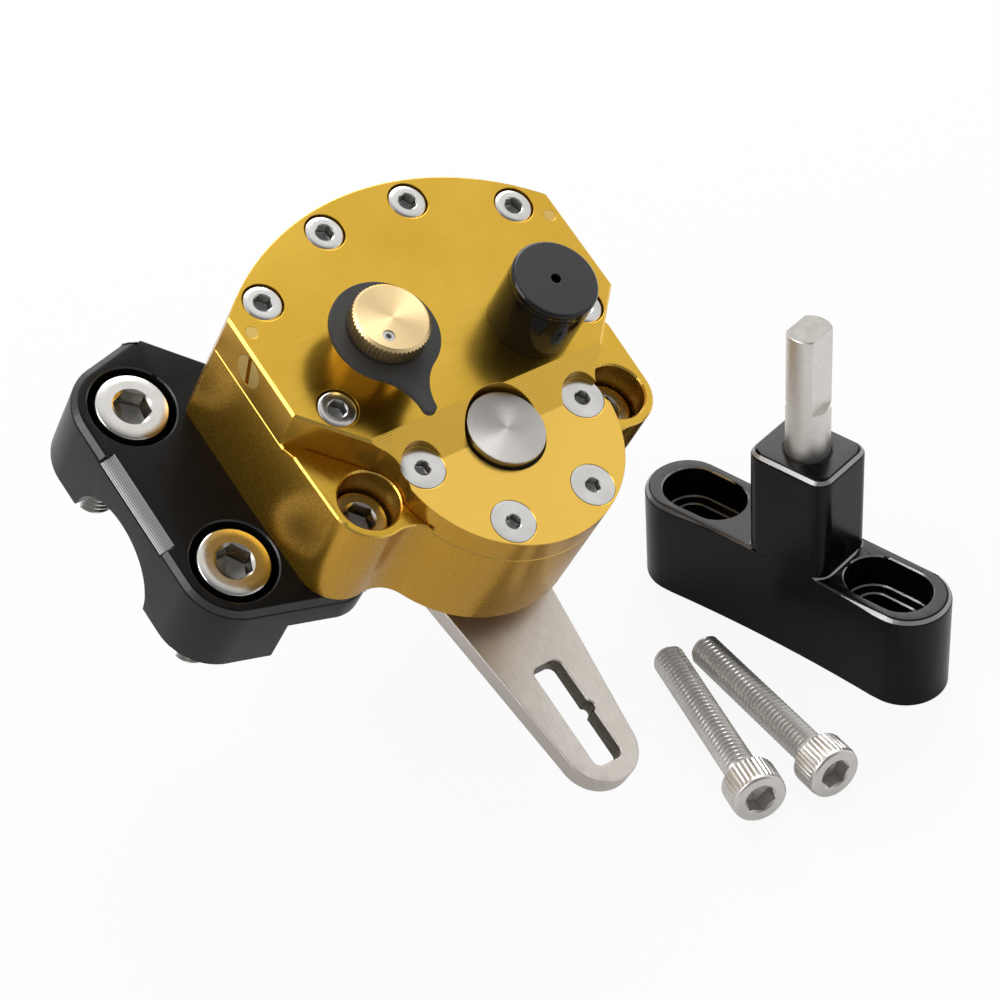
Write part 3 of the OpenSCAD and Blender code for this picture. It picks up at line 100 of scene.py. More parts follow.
class Graph:
    """A material's node tree with one shader and short calls for the nodes used here."""

    def __init__(self, name):
        self.mat = bpy.data.materials.new(name)
        self.mat.use_nodes = True
        self.tree = self.mat.node_tree
        self.tree.nodes.clear()
        self.out = self.add("ShaderNodeOutputMaterial")
        self.bsdf = self.add("ShaderNodeBsdfPrincipled")
        self.link(self.bsdf.outputs["BSDF"], self.out.inputs["Surface"])

    def add(self, kind, **props):
        node = self.tree.nodes.new(kind)
        for key, value in props.items():
            setattr(node, key, value)
        return node

    def link(self, a, b):
        self.tree.links.new(a, b)

    def put(self, socket, value):
        if isinstance(value, bpy.types.NodeSocket):
            self.link(value, socket)
        elif hasattr(socket.default_value, "__len__") and not hasattr(value, "__len__"):
            socket.default_value = [value] * len(socket.default_value)
        else:
            socket.default_value = value

    def set(self, **values):
        for key, value in values.items():
            if isinstance(value, tuple) and len(value) == 3:
                value = (*value, 1.0)
            self.put(self.bsdf.inputs[key.replace("_", " ").title().replace("Ior", "IOR")], value)

    def math(self, op, a, b=0.0, c=0.0):
        node = self.add("ShaderNodeMath", operation=op)
        for socket, value in zip(node.inputs, (a, b, c)):
            self.put(socket, value)
        return node.outputs[0]

    def vector(self, op, a, b=(0.0, 0.0, 0.0)):
        node = self.add("ShaderNodeVectorMath", operation=op)
        self.put(node.inputs[0], a)
        self.put(node.inputs[1], b)
        return node.outputs["Value" if op in ("LENGTH", "DOT_PRODUCT") else "Vector"]

    def place(self, laid=True):
        """Position at rest, in metres, in the damper's own frame or in the shared frame."""
        coord = self.add("ShaderNodeTexCoord").outputs["Object"]
        if not laid:
            return coord
        node = self.add("ShaderNodeMapping", vector_type="TEXTURE")
        self.link(coord, node.inputs["Vector"])
        node.inputs["Location"].default_value = LAY_AT
        node.inputs["Rotation"].default_value = LAY_TURN
        return node.outputs["Vector"]

    def join(self, x, y, z):
        node = self.add("ShaderNodeCombineXYZ")
        for socket, value in zip(node.inputs, (x, y, z)):
            self.put(socket, value)
        return node.outputs[0]

    def split(self, vector):
        node = self.add("ShaderNodeSeparateXYZ")
        self.link(vector, node.inputs[0])
        return node.outputs[0], node.outputs[1], node.outputs[2]

    def noise(self, vector, scale, detail=3.0, rough=0.5, stretch=None):
        if stretch:
            vector = self.vector("MULTIPLY", vector, stretch)
        node = self.add("ShaderNodeTexNoise")
        self.link(vector, node.inputs["Vector"])
        node.inputs["Scale"].default_value = scale
        node.inputs["Detail"].default_value = detail
        node.inputs["Roughness"].default_value = rough
        return node.outputs["Fac"]

    def span(self, value, low, high, a, b):
        """A value from low to high, spread over a to b."""
        node = self.add("ShaderNodeMapRange")
        keys = ("Value", "From Min", "From Max", "To Min", "To Max")
        for key, v in zip(keys, (value, low, high, a, b)):
            self.put(node.inputs[key], v)
        return node.outputs["Result"]

    def mix(self, share, a, b):
        node = self.add("ShaderNodeMix", data_type="RGBA")
        self.put(node.inputs["Factor"], share)
        for key, value in (("A", a), ("B", b)):
            socket = [s for s in node.inputs if s.name == key and s.type == "RGBA"][0]
            self.put(socket, (*value, 1.0) if isinstance(value, tuple) and len(value) == 3 else value)
        return [s for s in node.outputs if s.type == "RGBA"][0]

    def attribute(self, name):
        return self.add("ShaderNodeAttribute", attribute_name=name).outputs["Fac"]

    def bump(self, height, strength, distance, rounded=0.0):
        """Fine relief; rounded also softens the light on sharp edges, by that radius in millimetres."""
        node = self.add("ShaderNodeBump")
        node.inputs["Strength"].default_value = strength
        node.inputs["Distance"].default_value = distance
        self.link(height, node.inputs["Height"])
        if rounded:
            edge = self.add("ShaderNodeBevel", samples=6)
            edge.inputs["Radius"].default_value = rounded * MM
            self.link(edge.outputs["Normal"], node.inputs["Normal"])
        return node.outputs["Normal"]

    def slopes(self, axis):
        """1 on faces that lean 45 degrees from an axis of the shared frame, as chamfers do."""
        normal = self.add("ShaderNodeNewGeometry").outputs["True Normal"]
        off = self.math("SUBTRACT", self.vector("DOT_PRODUCT", normal, tuple(axis)), cos(pi / 4))
        return self.math("LESS_THAN", self.math("ABSOLUTE", off), 0.05)

    def facet(self, normal, on):
        """The given normal, but the face's own flat one where on is 1."""
        node = self.add("ShaderNodeMix", data_type="VECTOR")
        self.put(node.inputs["Factor"], on)
        flat = self.add("ShaderNodeNewGeometry").outputs["True Normal"]
        for key, value in (("A", normal), ("B", flat)):
            self.link(value, [s for s in node.inputs if s.name == key and s.type == "VECTOR"][0])
        return [s for s in node.outputs if s.type == "VECTOR"][0]

    def waves(self, value, pitch):
        """Even ridges, 0 to 1, along a length in metres."""
        turn = self.math("MULTIPLY", value, 2 * pi / pitch)
        return self.math("MULTIPLY_ADD", self.math("SINE", turn), 0.5, 0.5)

    def radius_from(self, x, y, cx, cy):
        """Distance from an upright axis in the damper's own frame, in metres."""
        dx = self.math("SUBTRACT", x, cx * MM)
        dy = self.math("SUBTRACT", y, cy * MM)
        squares = self.math("ADD", self.math("MULTIPLY", dx, dx), self.math("MULTIPLY", dy, dy))
        return self.math("SQRT", squares)

    def round_tangent(self, centre, axis):
        """Direction round an axis in the shared frame, for turned faces."""
        spoke = self.vector("SUBTRACT", self.place(False), tuple(centre))
        return self.vector("NORMALIZE", self.vector("CROSS_PRODUCT", tuple(axis), spoke))


AXIS = LAY.to_3x3() @ Vector((0, 0, 1))
GOLD_DEEP, GOLD, GOLD_STREAK = (0.66, 0.40, 0.046), (0.75, 0.475, 0.068), (0.60, 0.35, 0.036)
# Below, the deeper side colour paints shade on the walls, and the paler colour paints highlight and sheen
GOLD_PAINTED_HIGHLIGHT, GOLD_PAINTED_SIDE_SHADE = (0.92, 0.585, 0.115), (0.54, 0.29, 0.028)


def gold(name, rough, cover=False):
    """Gold anodised aluminium with a fine brushed grain. Its sides take a deeper colour as painted shade, and
    its chamfers a paler colour as a painted highlight.
    The cover also has its milled ramp, and a paler colour as painted sheen on its ramp and nose."""
    g = Graph(name)
    p = g.place()
    cloud = g.noise(p, 55.0, 3.0)
    streak = g.noise(p, 1.0, 3.0, 0.6, (60.0, 2600.0, 2600.0))
    grain = g.noise(p, 5200.0, 2.0)
    tone = g.mix(g.span(cloud, 0.3, 0.7, 0.0, 1.0), GOLD_DEEP, GOLD)
    lean = g.vector("DOT_PRODUCT", g.add("ShaderNodeNewGeometry").outputs["Normal"], tuple(AXIS))
    upward = g.span(lean, 0.35, 0.85, 0.0, 1.0)
    tone = g.mix(g.math("MULTIPLY", upward, g.span(streak, 0.3, 0.7, 0.0, 0.25)), tone, GOLD_STREAK)
    # Painted shade: faces that lean away from the top take the deeper side colour
    tone = g.mix(upward, GOLD_PAINTED_SIDE_SHADE, tone)
    level = g.span(streak, 0.25, 0.75, rough - 0.03, rough + 0.04)
    edges = g.slopes(AXIS)
    height = g.math("MULTIPLY_ADD", grain, 0.08, g.math("MULTIPLY", streak, 0.4))
    height = g.math("MULTIPLY", height, g.math("MULTIPLY_ADD", upward, 0.8, 0.2))
    if cover:
        y, z = g.split(p)[1:]
        pitch = RAMP_RISE / RAMP_RUN
        foot, head = (RAMP_FROM + 0.02) * MM, (RAMP_FROM + RAMP_RUN - 0.02) * MM
        slope = g.math("MULTIPLY_ADD", y, pitch, (NOSE_Z - RAMP_FROM * pitch) * MM)
        off_ramp = g.math("ABSOLUTE", g.math("SUBTRACT", z, slope))
        along = g.math("MULTIPLY", g.math("GREATER_THAN", y, foot), g.math("LESS_THAN", y, head))
        on_ramp = g.math("MULTIPLY", g.math("LESS_THAN", off_ramp, ON_RAMP), along)
        off_nose = g.math("ABSOLUTE", g.math("SUBTRACT", z, NOSE_Z * MM))
        on_nose = g.math("MULTIPLY", g.math("LESS_THAN", off_nose, ON_RAMP), g.math("LESS_THAN", y, foot))
        lines = g.math("MULTIPLY", on_ramp, g.waves(y, RAMP_LINES))
        height = g.math("ADD", height, g.math("MULTIPLY", lines, 2.4))
        # Painted sheen: the nose top and the milled ramp take the paler highlight colour
        painted_sheen = g.math("MULTIPLY_ADD", on_nose, 0.85, g.math("MULTIPLY", on_ramp, 0.6))
        tone = g.mix(painted_sheen, tone, GOLD_PAINTED_HIGHLIGHT)
        tone = g.mix(g.math("MULTIPLY", lines, 0.55), tone, GOLD_STREAK)
    # Painted highlight: chamfers take the paler highlight colour, shaded with their own flat normal
    g.set(base_color=g.mix(edges, tone, GOLD_PAINTED_HIGHLIGHT), roughness=level)
    g.set(metallic=g.math("MULTIPLY_ADD", upward, 0.12, 0.88))
    relief = g.bump(height, 0.30, GRAIN, 0.2 if cover else 0.0)
    g.link(g.facet(relief, edges), g.bsdf.inputs["Normal"])
    return g.mat


def turned_metal(name, dark, light, rough, cx, cy, aniso=0.8):
    """Metal turned about an upright axis of the damper, with fine rings."""
    g = Graph(name)
    p = g.place()
    x, y, z = g.split(p)
    r = g.radius_from(x, y, cx, cy)
    rings = g.noise(g.join(r, 0.0, z), 9000.0, 2.0)
    g.set(base_color=g.mix(g.span(rings, 0.3, 0.7, 0.0, 1.0), dark, light), metallic=1.0, anisotropic=aniso)
    g.link(g.span(rings, 0.2, 0.8, rough - 0.03, rough + 0.04), g.bsdf.inputs["Roughness"])
    g.link(g.bump(rings, 0.08, 0.00001), g.bsdf.inputs["Normal"])
    centre = LAY @ (Vector((cx, cy, 0)) * MM)
    g.link(g.round_tangent(centre, AXIS), g.bsdf.inputs["Tangent"])
    return g.mat


def black_metal(name, base, rough, axis, edge, laid=True, gloss=0.3, flat=False):
    """Black anodised aluminium whose chamfers carry a painted highlight, a lighter and more metallic colour;
    flat adds the lines of the clamp's milled flat.
    """
    g = Graph(name)
    p = g.place(laid)
    cloud = g.noise(p, 70.0, 3.0)
    grain = g.noise(p, 6000.0, 2.0)
    streak = g.noise(p, 1.0, 2.0, 0.6, (50.0, 2400.0, 2400.0))
    darker, lighter = (tuple(share * c for c in base) for share in (0.8, 1.2))
    tone = g.mix(g.span(cloud, 0.3, 0.7, 0.0, 1.0), darker, lighter)
    height = g.math("MULTIPLY_ADD", grain, 0.4, g.math("MULTIPLY", streak, 0.35))
    level = g.span(streak, 0.2, 0.8, rough - 0.04, rough + 0.06)
    # Painted highlight: chamfers take the lighter edge colour and more metal
    shine = g.math("MULTIPLY", g.slopes(axis), g.span(cloud, 0.35, 0.65, 0.35, 0.75))
    tone = g.mix(g.slopes(axis), tone, edge)
    g.set(specular_ior_level=gloss)
    if flat:
        x, y, z = g.split(p)
        pitch = FLAT_RISE / FLAT_RUN
        rise = g.math("MULTIPLY_ADD", x, pitch, (FLAT_Z - FLAT_X * pitch) * MM)
        off = g.math("ABSOLUTE", g.math("SUBTRACT", z, rise))
        along = g.math("ABSOLUTE", g.math("SUBTRACT", y, BAR_Y * MM))
        inside = g.math("MULTIPLY", g.math("LESS_THAN", along, FLAT_HALF * MM),
                        g.math("GREATER_THAN", z, (FLAT_Z + 0.1) * MM))
        on = g.math("MULTIPLY", g.math("LESS_THAN", off, ON_FLAT), inside)
        lines = g.waves(x, FLAT_LINES)
        height = g.math("ADD", height, g.math("MULTIPLY", g.math("MULTIPLY", on, lines), 3.0))
        tone = g.mix(on, tone, g.mix(lines, (0.20, 0.20, 0.205), (0.46, 0.46, 0.47)))
        shine = g.math("MAXIMUM", on, shine)
        level = g.math("ADD", level, g.math("MULTIPLY", on, 0.1))
    g.set(base_color=tone, metallic=shine, roughness=level)
    g.link(g.facet(g.bump(height, 0.25, GRAIN), g.slopes(axis)), g.bsdf.inputs["Normal"])
    return g.mat


def plain_metal(name, dark, light, rough, laid=True, stretch=(1.0, 1.0, 1.0), strength=0.25,
                arm=False, top_shade=None):
    """Satin or brushed metal: stretch draws the brushing out along an axis; arm paints shade on the cut sides
    and darker painted shade inside the slot, and the last argument is the darker colour painted as shade on
    the top face, with the height above which it lies."""
    g = Graph(name)
    p = g.place(laid)
    brush = g.noise(p, 2600.0, 4.0, 0.6, stretch)
    cloud = g.noise(p, 90.0, 3.0)
    tone = g.mix(g.span(cloud, 0.3, 0.7, 0.0, 1.0), dark, light)
    tone = g.mix(g.span(brush, 0.35, 0.7, 0.0, 0.35), tone, tuple(0.75 * c for c in dark))
    if arm:
        normal = g.add("ShaderNodeNewGeometry").outputs["True Normal"]
        lean = g.math("ABSOLUTE", g.vector("DOT_PRODUCT", normal, tuple(AXIS)))
        side = g.math("LESS_THAN", lean, 0.3)
        x, y = g.split(p)[:2]
        across = g.math("LESS_THAN", g.math("ABSOLUTE", x), SLOT_NEAR_X * MM)
        off = g.math("ABSOLUTE", g.math("SUBTRACT", y, SLOT_Y * MM))
        along = g.math("LESS_THAN", off, SLOT_NEAR_Y * MM)
        inside = g.math("MULTIPLY", side, g.math("MULTIPLY", across, along))
        # Painted shade: the slot's walls and the cut sides take darker colours
        slot_shade = g.mix(g.span(brush, 0.3, 0.7, 0.0, 1.0), (0.055, 0.048, 0.038), (0.13, 0.115, 0.09))
        tone = g.mix(g.math("MULTIPLY", side, 0.9), tone, (0.52, 0.48, 0.44))
        tone = g.mix(inside, tone, slot_shade)
    level = g.span(brush, 0.2, 0.8, rough - 0.05, rough + 0.07)
    # Painted shade: the top face takes a darker colour
    if top_shade:
        shaded_top = g.math("GREATER_THAN", g.split(p)[2], top_shade[1])
        tone = g.mix(shaded_top, tone, top_shade[0])
        level = g.math("MULTIPLY_ADD", shaded_top, 0.3, level)
    g.set(base_color=tone, metallic=1.0, roughness=level)
    g.link(g.bump(brush, strength, GRAIN), g.bsdf.inputs["Normal"])
    return g.mat


def screw_metal(name, dark, light, rough, shade=0.6):
    """Stainless steel of the screws, with turning marks round each screw's own axis and painted shade, a
    darker colour, in the sockets and thread roots.
    """
    g = Graph(name)
    p = g.place(False)
    wander = g.noise(p, 1500.0, 3.0)
    cloud = g.noise(p, 240.0, 2.0)
    deep = g.attribute("recess")
    tone = g.mix(g.span(cloud, 0.3, 0.7, 0.0, 1.0), dark, light)
    # Painted shade: sockets and thread roots take a darker colour by their depth
    tone = g.mix(g.math("MULTIPLY", deep, shade), tone, tuple(0.2 * c for c in dark))
    level = g.math("MULTIPLY_ADD", deep, 0.12, g.span(wander, 0.2, 0.8, rough - 0.04, rough + 0.07))
    g.set(base_color=tone, metallic=1.0, roughness=level)
    height = g.math("MULTIPLY_ADD", g.waves(g.attribute("from_axis"), 0.12 * MM), 0.6, wander)
    g.link(g.bump(height, 0.12, 0.00002), g.bsdf.inputs["Normal"])
    return g.mat


def dull(name, dark, light, rough, strength=0.3, gloss=0.5, top=None):
    """Moulded plastic or rubber; top gives the upper face its own tone and roughness."""
    g = Graph(name)
    p = g.place()
    grain = g.noise(p, 2200.0, 3.0, 0.6)
    cloud = g.noise(p, 120.0, 3.0)
    tone = g.mix(g.span(cloud, 0.3, 0.7, 0.0, 1.0), dark, light)
    level = g.span(grain, 0.2, 0.8, rough - 0.05, rough + 0.06)
    if top:
        height, colour, matt = top
        on = g.span(g.split(p)[2], (height - 0.25) * MM, (height - 0.05) * MM, 0.0, 1.0)
        tone = g.mix(on, tone, colour)
        level = g.math("ADD", level, g.math("MULTIPLY", on, matt))
    g.set(base_color=tone, specular_ior_level=gloss)
    g.link(level, g.bsdf.inputs["Roughness"])
    g.link(g.bump(grain, strength, GRAIN), g.bsdf.inputs["Normal"])
    return g.mat


gold_cover = gold("gold_cover", 0.23, True)
gold_body = gold("gold_body", 0.27)
shaft_steel = turned_metal("shaft_steel", (0.58, 0.555, 0.53), (0.69, 0.665, 0.64), 0.34, 0, 0)
knob_brass = turned_metal("knob_brass", (0.90, 0.66, 0.33), (0.98, 0.76, 0.42), 0.32, KNOB_X, KNOB_Y)
collar_brass = turned_metal("collar_brass", (0.88, 0.60, 0.17), (0.95, 0.67, 0.22), 0.22,
                            KNOB_X, KNOB_Y, 0.4)
plug_brass = plain_metal("plug_brass", (0.62, 0.42, 0.11), (0.71, 0.50, 0.16), 0.30)
bush_bronze = plain_metal("bush_bronze", (0.42, 0.26, 0.11), (0.52, 0.33, 0.15), 0.4)
inner_steel = plain_metal("inner_steel", (0.52, 0.52, 0.51), (0.62, 0.62, 0.60), 0.3)
arm_steel = plain_metal("arm_steel", (0.72, 0.665, 0.60), (0.80, 0.75, 0.69), 0.38,
                        stretch=(1.0, 0.16, 1.0), arm=True)
pin_top = max(corner[2] for corner in nodes["tower_pin"].bound_box) - 0.05 * MM
# The pin's top face gets a darker colour as painted shade
pin_steel = plain_metal("pin_steel", (0.74, 0.71, 0.67), (0.83, 0.80, 0.76), 0.40, False,
                        (0.25, 0.25, 1.6), 0.3, top_shade=((0.38, 0.365, 0.345), pin_top))
stainless = screw_metal("stainless", (0.62, 0.61, 0.59), (0.72, 0.715, 0.70), 0.22)
bright_stainless = screw_metal("bright_stainless", (0.64, 0.62, 0.58), (0.74, 0.725, 0.69), 0.18, 0.7)
satin_stainless = screw_metal("satin_stainless", (0.64, 0.62, 0.59), (0.73, 0.71, 0.68), 0.36, 0.05)
# The edge colours passed below paint a highlight on the chamfers
clamp_black = black_metal("clamp_black", (0.006, 0.006, 0.0065), 0.30, AXIS, (0.07, 0.07, 0.073),
                          gloss=0.16, flat=True)
tower_black = black_metal("tower_black", (0.002, 0.002, 0.0022), 0.22, (0, 0, 1), (0.34, 0.34, 0.34),
                          False, 0.18)
pointer_black = dull("pointer_black", (0.016, 0.016, 0.017), (0.026, 0.026, 0.027), 0.55)
cap_black = dull("cap_black", (0.004, 0.004, 0.004), (0.006, 0.006, 0.006), 0.10, strength=0.06,
                 gloss=0.4, top=(CAP_TOP, (0.026, 0.026, 0.028), 0.32))
rubber = dull("rubber", (0.010, 0.010, 0.010), (0.016, 0.016, 0.016), 0.6)

finish_of = {
    "body_housing": gold_body, "top_cover": gold_cover, "vane_shaft": shaft_steel, "link_arm": arm_steel,
    "adjuster_knob": knob_brass, "valve_collar": collar_brass, "relief_plug": plug_brass,
    "dowel_pins": plug_brass, "pointer_ring": pointer_black, "reservoir_cap": cap_black,
    "bar_clamp": clamp_black, "tower_bracket": tower_black, "tower_pin": pin_steel,
    "upper_bush": bush_bronze, "lower_bush": bush_bronze,
}
for name in ("cover_gasket", "upper_seal", "lower_seal", "cap_seal", "piston_ring", "vane_seal",
             "spindle_ring", "needle_ring", "pin_ring"):
    finish_of[name] = rubber
for name, node in nodes.items():
    node.data.materials.clear()
    node.data.materials.append(finish_of.get(name, inner_steel))


def soften(name, width):
    """Fine chamfers on a node's edges sharper than 35 degrees, as modifiers: its own mesh stays as it is."""
    weld = nodes[name].modifiers.new("weld", "WELD")
    weld.merge_threshold = 1e-6
    plane = nodes[name].modifiers.new("plane", "DECIMATE")
    plane.decimate_type = "DISSOLVE"
    plane.angle_limit = radians(0.02)
    edge = nodes[name].modifiers.new("edge", "BEVEL")
    edge.width = width * MM
    edge.segments = 1
    edge.limit_method = "ANGLE"
    edge.angle_limit = radians(35.0)
    edge.use_clamp_overlap = False
    nodes[name].modifiers.new("normals", "WEIGHTED_NORMAL").weight = 90


for name, width in (
    ("body_housing", 0.30), ("bar_clamp", 0.25), ("tower_bracket", 0.25), ("link_arm", 0.25),
    ("reservoir_cap", 0.12), ("pointer_ring", 0.12), ("vane_shaft", 0.15),
):
    soften(name, width)


# Screws and springs

def lathe(rows, count):
    """Closed mesh from rows of height and radius in millimetres, each a number or a function of the
    angle."""
    def value(v, a):
        return v(a) if callable(v) else v

    verts = [(0.0, 0.0, rows[0][0])]
    for z, r in rows[1:-1]:
        for i in range(count):
            a = 2 * pi * i / count
            verts.append((value(r, a) * cos(a), value(r, a) * sin(a), value(z, a)))
    verts.append((0.0, 0.0, rows[-1][0]))
    faces, rings = [], len(rows) - 2
    for i in range(count):
        j = (i + 1) % count
        faces.append((0, 1 + j, 1 + i))
        for k in range(rings - 1):
            a, b = 1 + k * count, 1 + (k + 1) * count
            faces.append((a + i, a + j, b + j, b + i))
        last = 1 + (rings - 1) * count
        faces.append((last + i, last + j, len(verts) - 1))
    return verts, faces


def hexagon(key):
    """Reach of a hexagon of that width over its flats, as a function of the angle."""
    return lambda a: key / 2 / cos(a % (pi / 3) - pi / 6)


def socket_rows(top, key, depth, face_r):
    """Rows from the rim of a flat head face to the drilled floor of its hexagon socket."""
    six, mouth = hexagon(key), key / 2 / cos(pi / 6) * 1.03
    return [
        (top, face_r), (top, 0.5 * (face_r + mouth)), (top, mouth),
        (lambda a: top - 0.7 * (mouth - six(a)), six), (top - depth, six),
        (top - depth - 0.05, lambda a: 0.97 * six(a)), (top - depth - 0.28 * key, 0.0),
    ]


def shank_rows(r, l, depth=0.0, pitch=1.0, bare=0.0, steps=6):
    """Rows of a shank from its tip at -l up to its head at 0; depth above 0 cuts a thread that ends by the
    length bare below the head."""
    low = r - (depth or 0.3)
    rows = [(-l, 0.0), (-l, low - 0.25)]
    if not depth:
        return rows + [(-l + r - low + 0.25, r), (-0.05, r)]

    def ridge(z):
        def radius(a):
            t = abs(2 * ((z / pitch - a / (2 * pi)) % 1.0) - 1.0)
            cut = depth * min(1.0, max(0.0, (t - 0.12) / 0.76))
            fade = min(1.0, max(0.0, (-bare - z) / pitch))
            return min(r - cut * fade, low - 0.25 + 1.1 * (z + l))
        return radius

    count = int((l - 0.1) / pitch * steps)
    heights = [-l + (l - 0.1) * (i + 1) / count for i in range(count)]
    return rows + [(z, ridge(z)) for z in heights]


def cap_screw(r, l, head_r, head_h, key, knurls=0, count=60, **shank):
    """Socket cap screw with its seat at z = 0."""
    if knurls:
        groove = lambda a: head_r - 0.24 * abs(2 * ((a * knurls / (2 * pi)) % 1.0) - 1.0)
        band = [(0.0, head_r - 0.55), (0.45, head_r - 0.14), (0.6, groove), (head_h - 1.0, groove),
                (head_h - 0.85, head_r - 0.14), (head_h - 0.45, head_r - 0.16)]
    else:
        band = [(0.0, head_r - 0.2), (0.2, head_r), (head_h - 0.5, head_r)]
    rim = [(head_h - 0.3, head_r - 0.07 - 0.12 * bool(knurls)),
           (head_h - 0.12, head_r - 0.22 - 0.1 * bool(knurls))]
    face = socket_rows(head_h, key, 0.52 * head_h, head_r - 0.5)
    return lathe(shank_rows(r, l, **shank) + [(0.0, r)] + band + rim + face, count)


def flat_screw(r, l, head_r, key, count=60):
    """Countersunk screw with its face at z = 0."""
    cone = [(-(head_r - r) - 0.02, r), (-0.12, head_r - 0.12), (-0.02, head_r - 0.02)]
    shank = [(-l, 0.0), (-l, r - 0.3), (-l + 0.3, r)]
    return lathe(shank + cone + socket_rows(0.0, key, 0.6 * (head_r - r) + 0.5, head_r - 0.12), count)


def piece(name, body, parts, material, replaces=None, deep=None):
    """One object from several meshes in millimetres with their places, smooth below 32 degrees; keeps each
    point's distance from its own axis, and how deep in a recess it lies."""
    verts, faces, reach, depths = [], [], [], []
    for (points, polys), place in parts:
        start = len(verts)
        for q in points:
            from_axis = sqrt(q[0] * q[0] + q[1] * q[1])
            verts.append(place @ (Vector(q) * MM))
            reach.append(from_axis * MM)
            depths.append(deep(from_axis, q[2]) if deep else 0.0)
        faces.extend(tuple(start + i for i in f) for f in polys)
    mesh = bpy.data.meshes.new(name)
    mesh.from_pydata(verts, [], faces)
    mesh.validate()
    mesh.attributes.new("from_axis", "FLOAT", "POINT").data.foreach_set("value", reach)
    mesh.attributes.new("recess", "FLOAT", "POINT").data.foreach_set("value", depths)
    mesh.shade_smooth()
    mesh.set_sharp_from_angle(angle=radians(32.0))
    mesh.materials.append(material)
    obj = bpy.data.objects.new(name, mesh)
    scene.collection.objects.link(obj)
    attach(obj, body)
    if replaces:
        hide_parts(replaces)
    return obj


def recess(top, key, r=0.0, depth=0.0):
    """How deep a point of a screw lies, 0 to 1: in its socket below the head's face, or between its
    threads."""
    def deep(reach, z):
        if z < 0.0 < depth:
            return min(1.0, max(0.0, (r - reach) / depth))
        if reach < 0.6 * key and z > top - key:
            return min(1.0, max(0.0, (top - z - 0.05) / 0.9))
        return 0.0
    return deep


cover_mesh = cap_screw(M4_R, M4_L, M4_HEAD_R, M4_HEAD_H, M4_KEY)
rear = [(ROW_R * sin(radians(a)), ROW_R * cos(radians(a))) for a in ROW_TURNS]
spots = rear + [(-SIDE_X, SIDE_Y), (SIDE_X, SIDE_Y)]
cover_places = [(*p, COVER_SEAT, t) for p, t in zip(spots, (12, 35, 3, 48, 20, 41))]
piece("cover_screw_set", "housing", [(cover_mesh, at(*p)) for p in cover_places], stainless,
      replaces="cover_screws", deep=recess(M4_HEAD_H, M4_KEY))

nose_mesh = flat_screw(M4_R, NOSE_L, NOSE_HEAD_R, NOSE_KEY)
nose_places = [(NOSE_ROW_R * cos(radians(a)), NOSE_ROW_R * sin(radians(a)), NOSE_Z, t)
               for a, t in ((0, 8), (180, 31), (240, 52), (300, 17))]
piece("nose_screw_set", "housing", [(nose_mesh, at(*p)) for p in nose_places], stainless,
      replaces="nose_screws", deep=recess(0.0, NOSE_KEY))

clamp_mesh = cap_screw(M8_R, M8_L, M8_HEAD_R, M8_HEAD_H, M8_KEY, count=72,
                       depth=M8_THREAD, pitch=1.25, bare=7.0)
clamp_places = [at(CLAMP_X, BAR_Y + s * CLAMP_OFF, CLAMP_SEAT, t) for s, t in ((1, 22), (-1, 5))]
piece("clamp_bolt_set", "housing", [(clamp_mesh, p) for p in clamp_places], bright_stainless,
      replaces="clamp_bolts", deep=recess(M8_HEAD_H, M8_KEY, M8_R, M8_THREAD))

ear_mesh = cap_screw(M6_R, EAR_L, M6_HEAD_R, M6_HEAD_H, M6_KEY)
ear_places = [at(s * EAR_X, 0.0, EAR_SEAT, t) for s, t in ((-1, 14), (1, 40))]
piece("body_bolt_set", "housing", [(ear_mesh, p) for p in ear_places], bright_stainless,
      replaces="body_bolts", deep=recess(M6_HEAD_H, M6_KEY))

screw_lean = atan((M6_HEAD_R - M6_R) / M6_L)
loose_mesh = cap_screw(M6_R, M6_L, M6_HEAD_R, M6_HEAD_H, M6_KEY, knurls=40, count=160,
                       depth=M6_THREAD, pitch=1.0, bare=1.0)
loose_places = []
for tip_x, tip_y, heading, roll in ((-10.5, -24.3, -28.8, 10.0), (-6.8, -18.5, -18.6, 33.0)):
    lies = Matrix.Translation(Vector((tip_x, tip_y, M6_R * cos(screw_lean) + PLAY)) * MM)
    lies = lies @ Matrix.Rotation(radians(heading), 4, "Z") @ Matrix.Rotation(pi / 2 - screw_lean, 4, "Y")
    lies = lies @ Matrix.Translation(Vector((0, 0, M6_L)) * MM) @ Matrix.Rotation(radians(roll), 4, "Z")
    loose_places.append(lies)
piece("loose_screw_pair", "housing", [(loose_mesh, p) for p in loose_places], satin_stainless,
      replaces="tower_screws", deep=recess(M6_HEAD_H, M6_KEY, M6_R, M6_THREAD))


def spring(r, wire, length, turns, per_turn=32, sides=10):
    """Round wire wound on a cylinder, standing on z = 0, with both ends closed."""
    count = int(turns * per_turn)
    verts, faces = [], []
    for i in range(count + 1):
        a = 2 * pi * i / per_turn
        z = wire + (length - 2 * wire) * i / count
        for j in range(sides):
            b = 2 * pi * j / sides
            verts.append(((r + wire * cos(b)) * cos(a), (r + wire * cos(b)) * sin(a), z + wire * sin(b)))
    for i in range(count):
        for j in range(sides):
            k = (j + 1) % sides
            faces.append((i * sides + j, (i + 1) * sides + j, (i + 1) * sides + k, i * sides + k))
    faces.append(tuple(range(sides)))
    faces.append(tuple(count * sides + j for j in reversed(range(sides))))
    return verts, faces


res_length = RES_ROOF - RES_FLOOR - 2 * PLAY
res_wire = spring(3.55, 0.35, res_length, 4.5)
res_coil = piece("reservoir_coil", "housing", [(res_wire, at(RES_X, RES_Y, RES_FLOOR + PLAY))],
                 inner_steel, replaces="reservoir_spring")
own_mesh(res_coil)

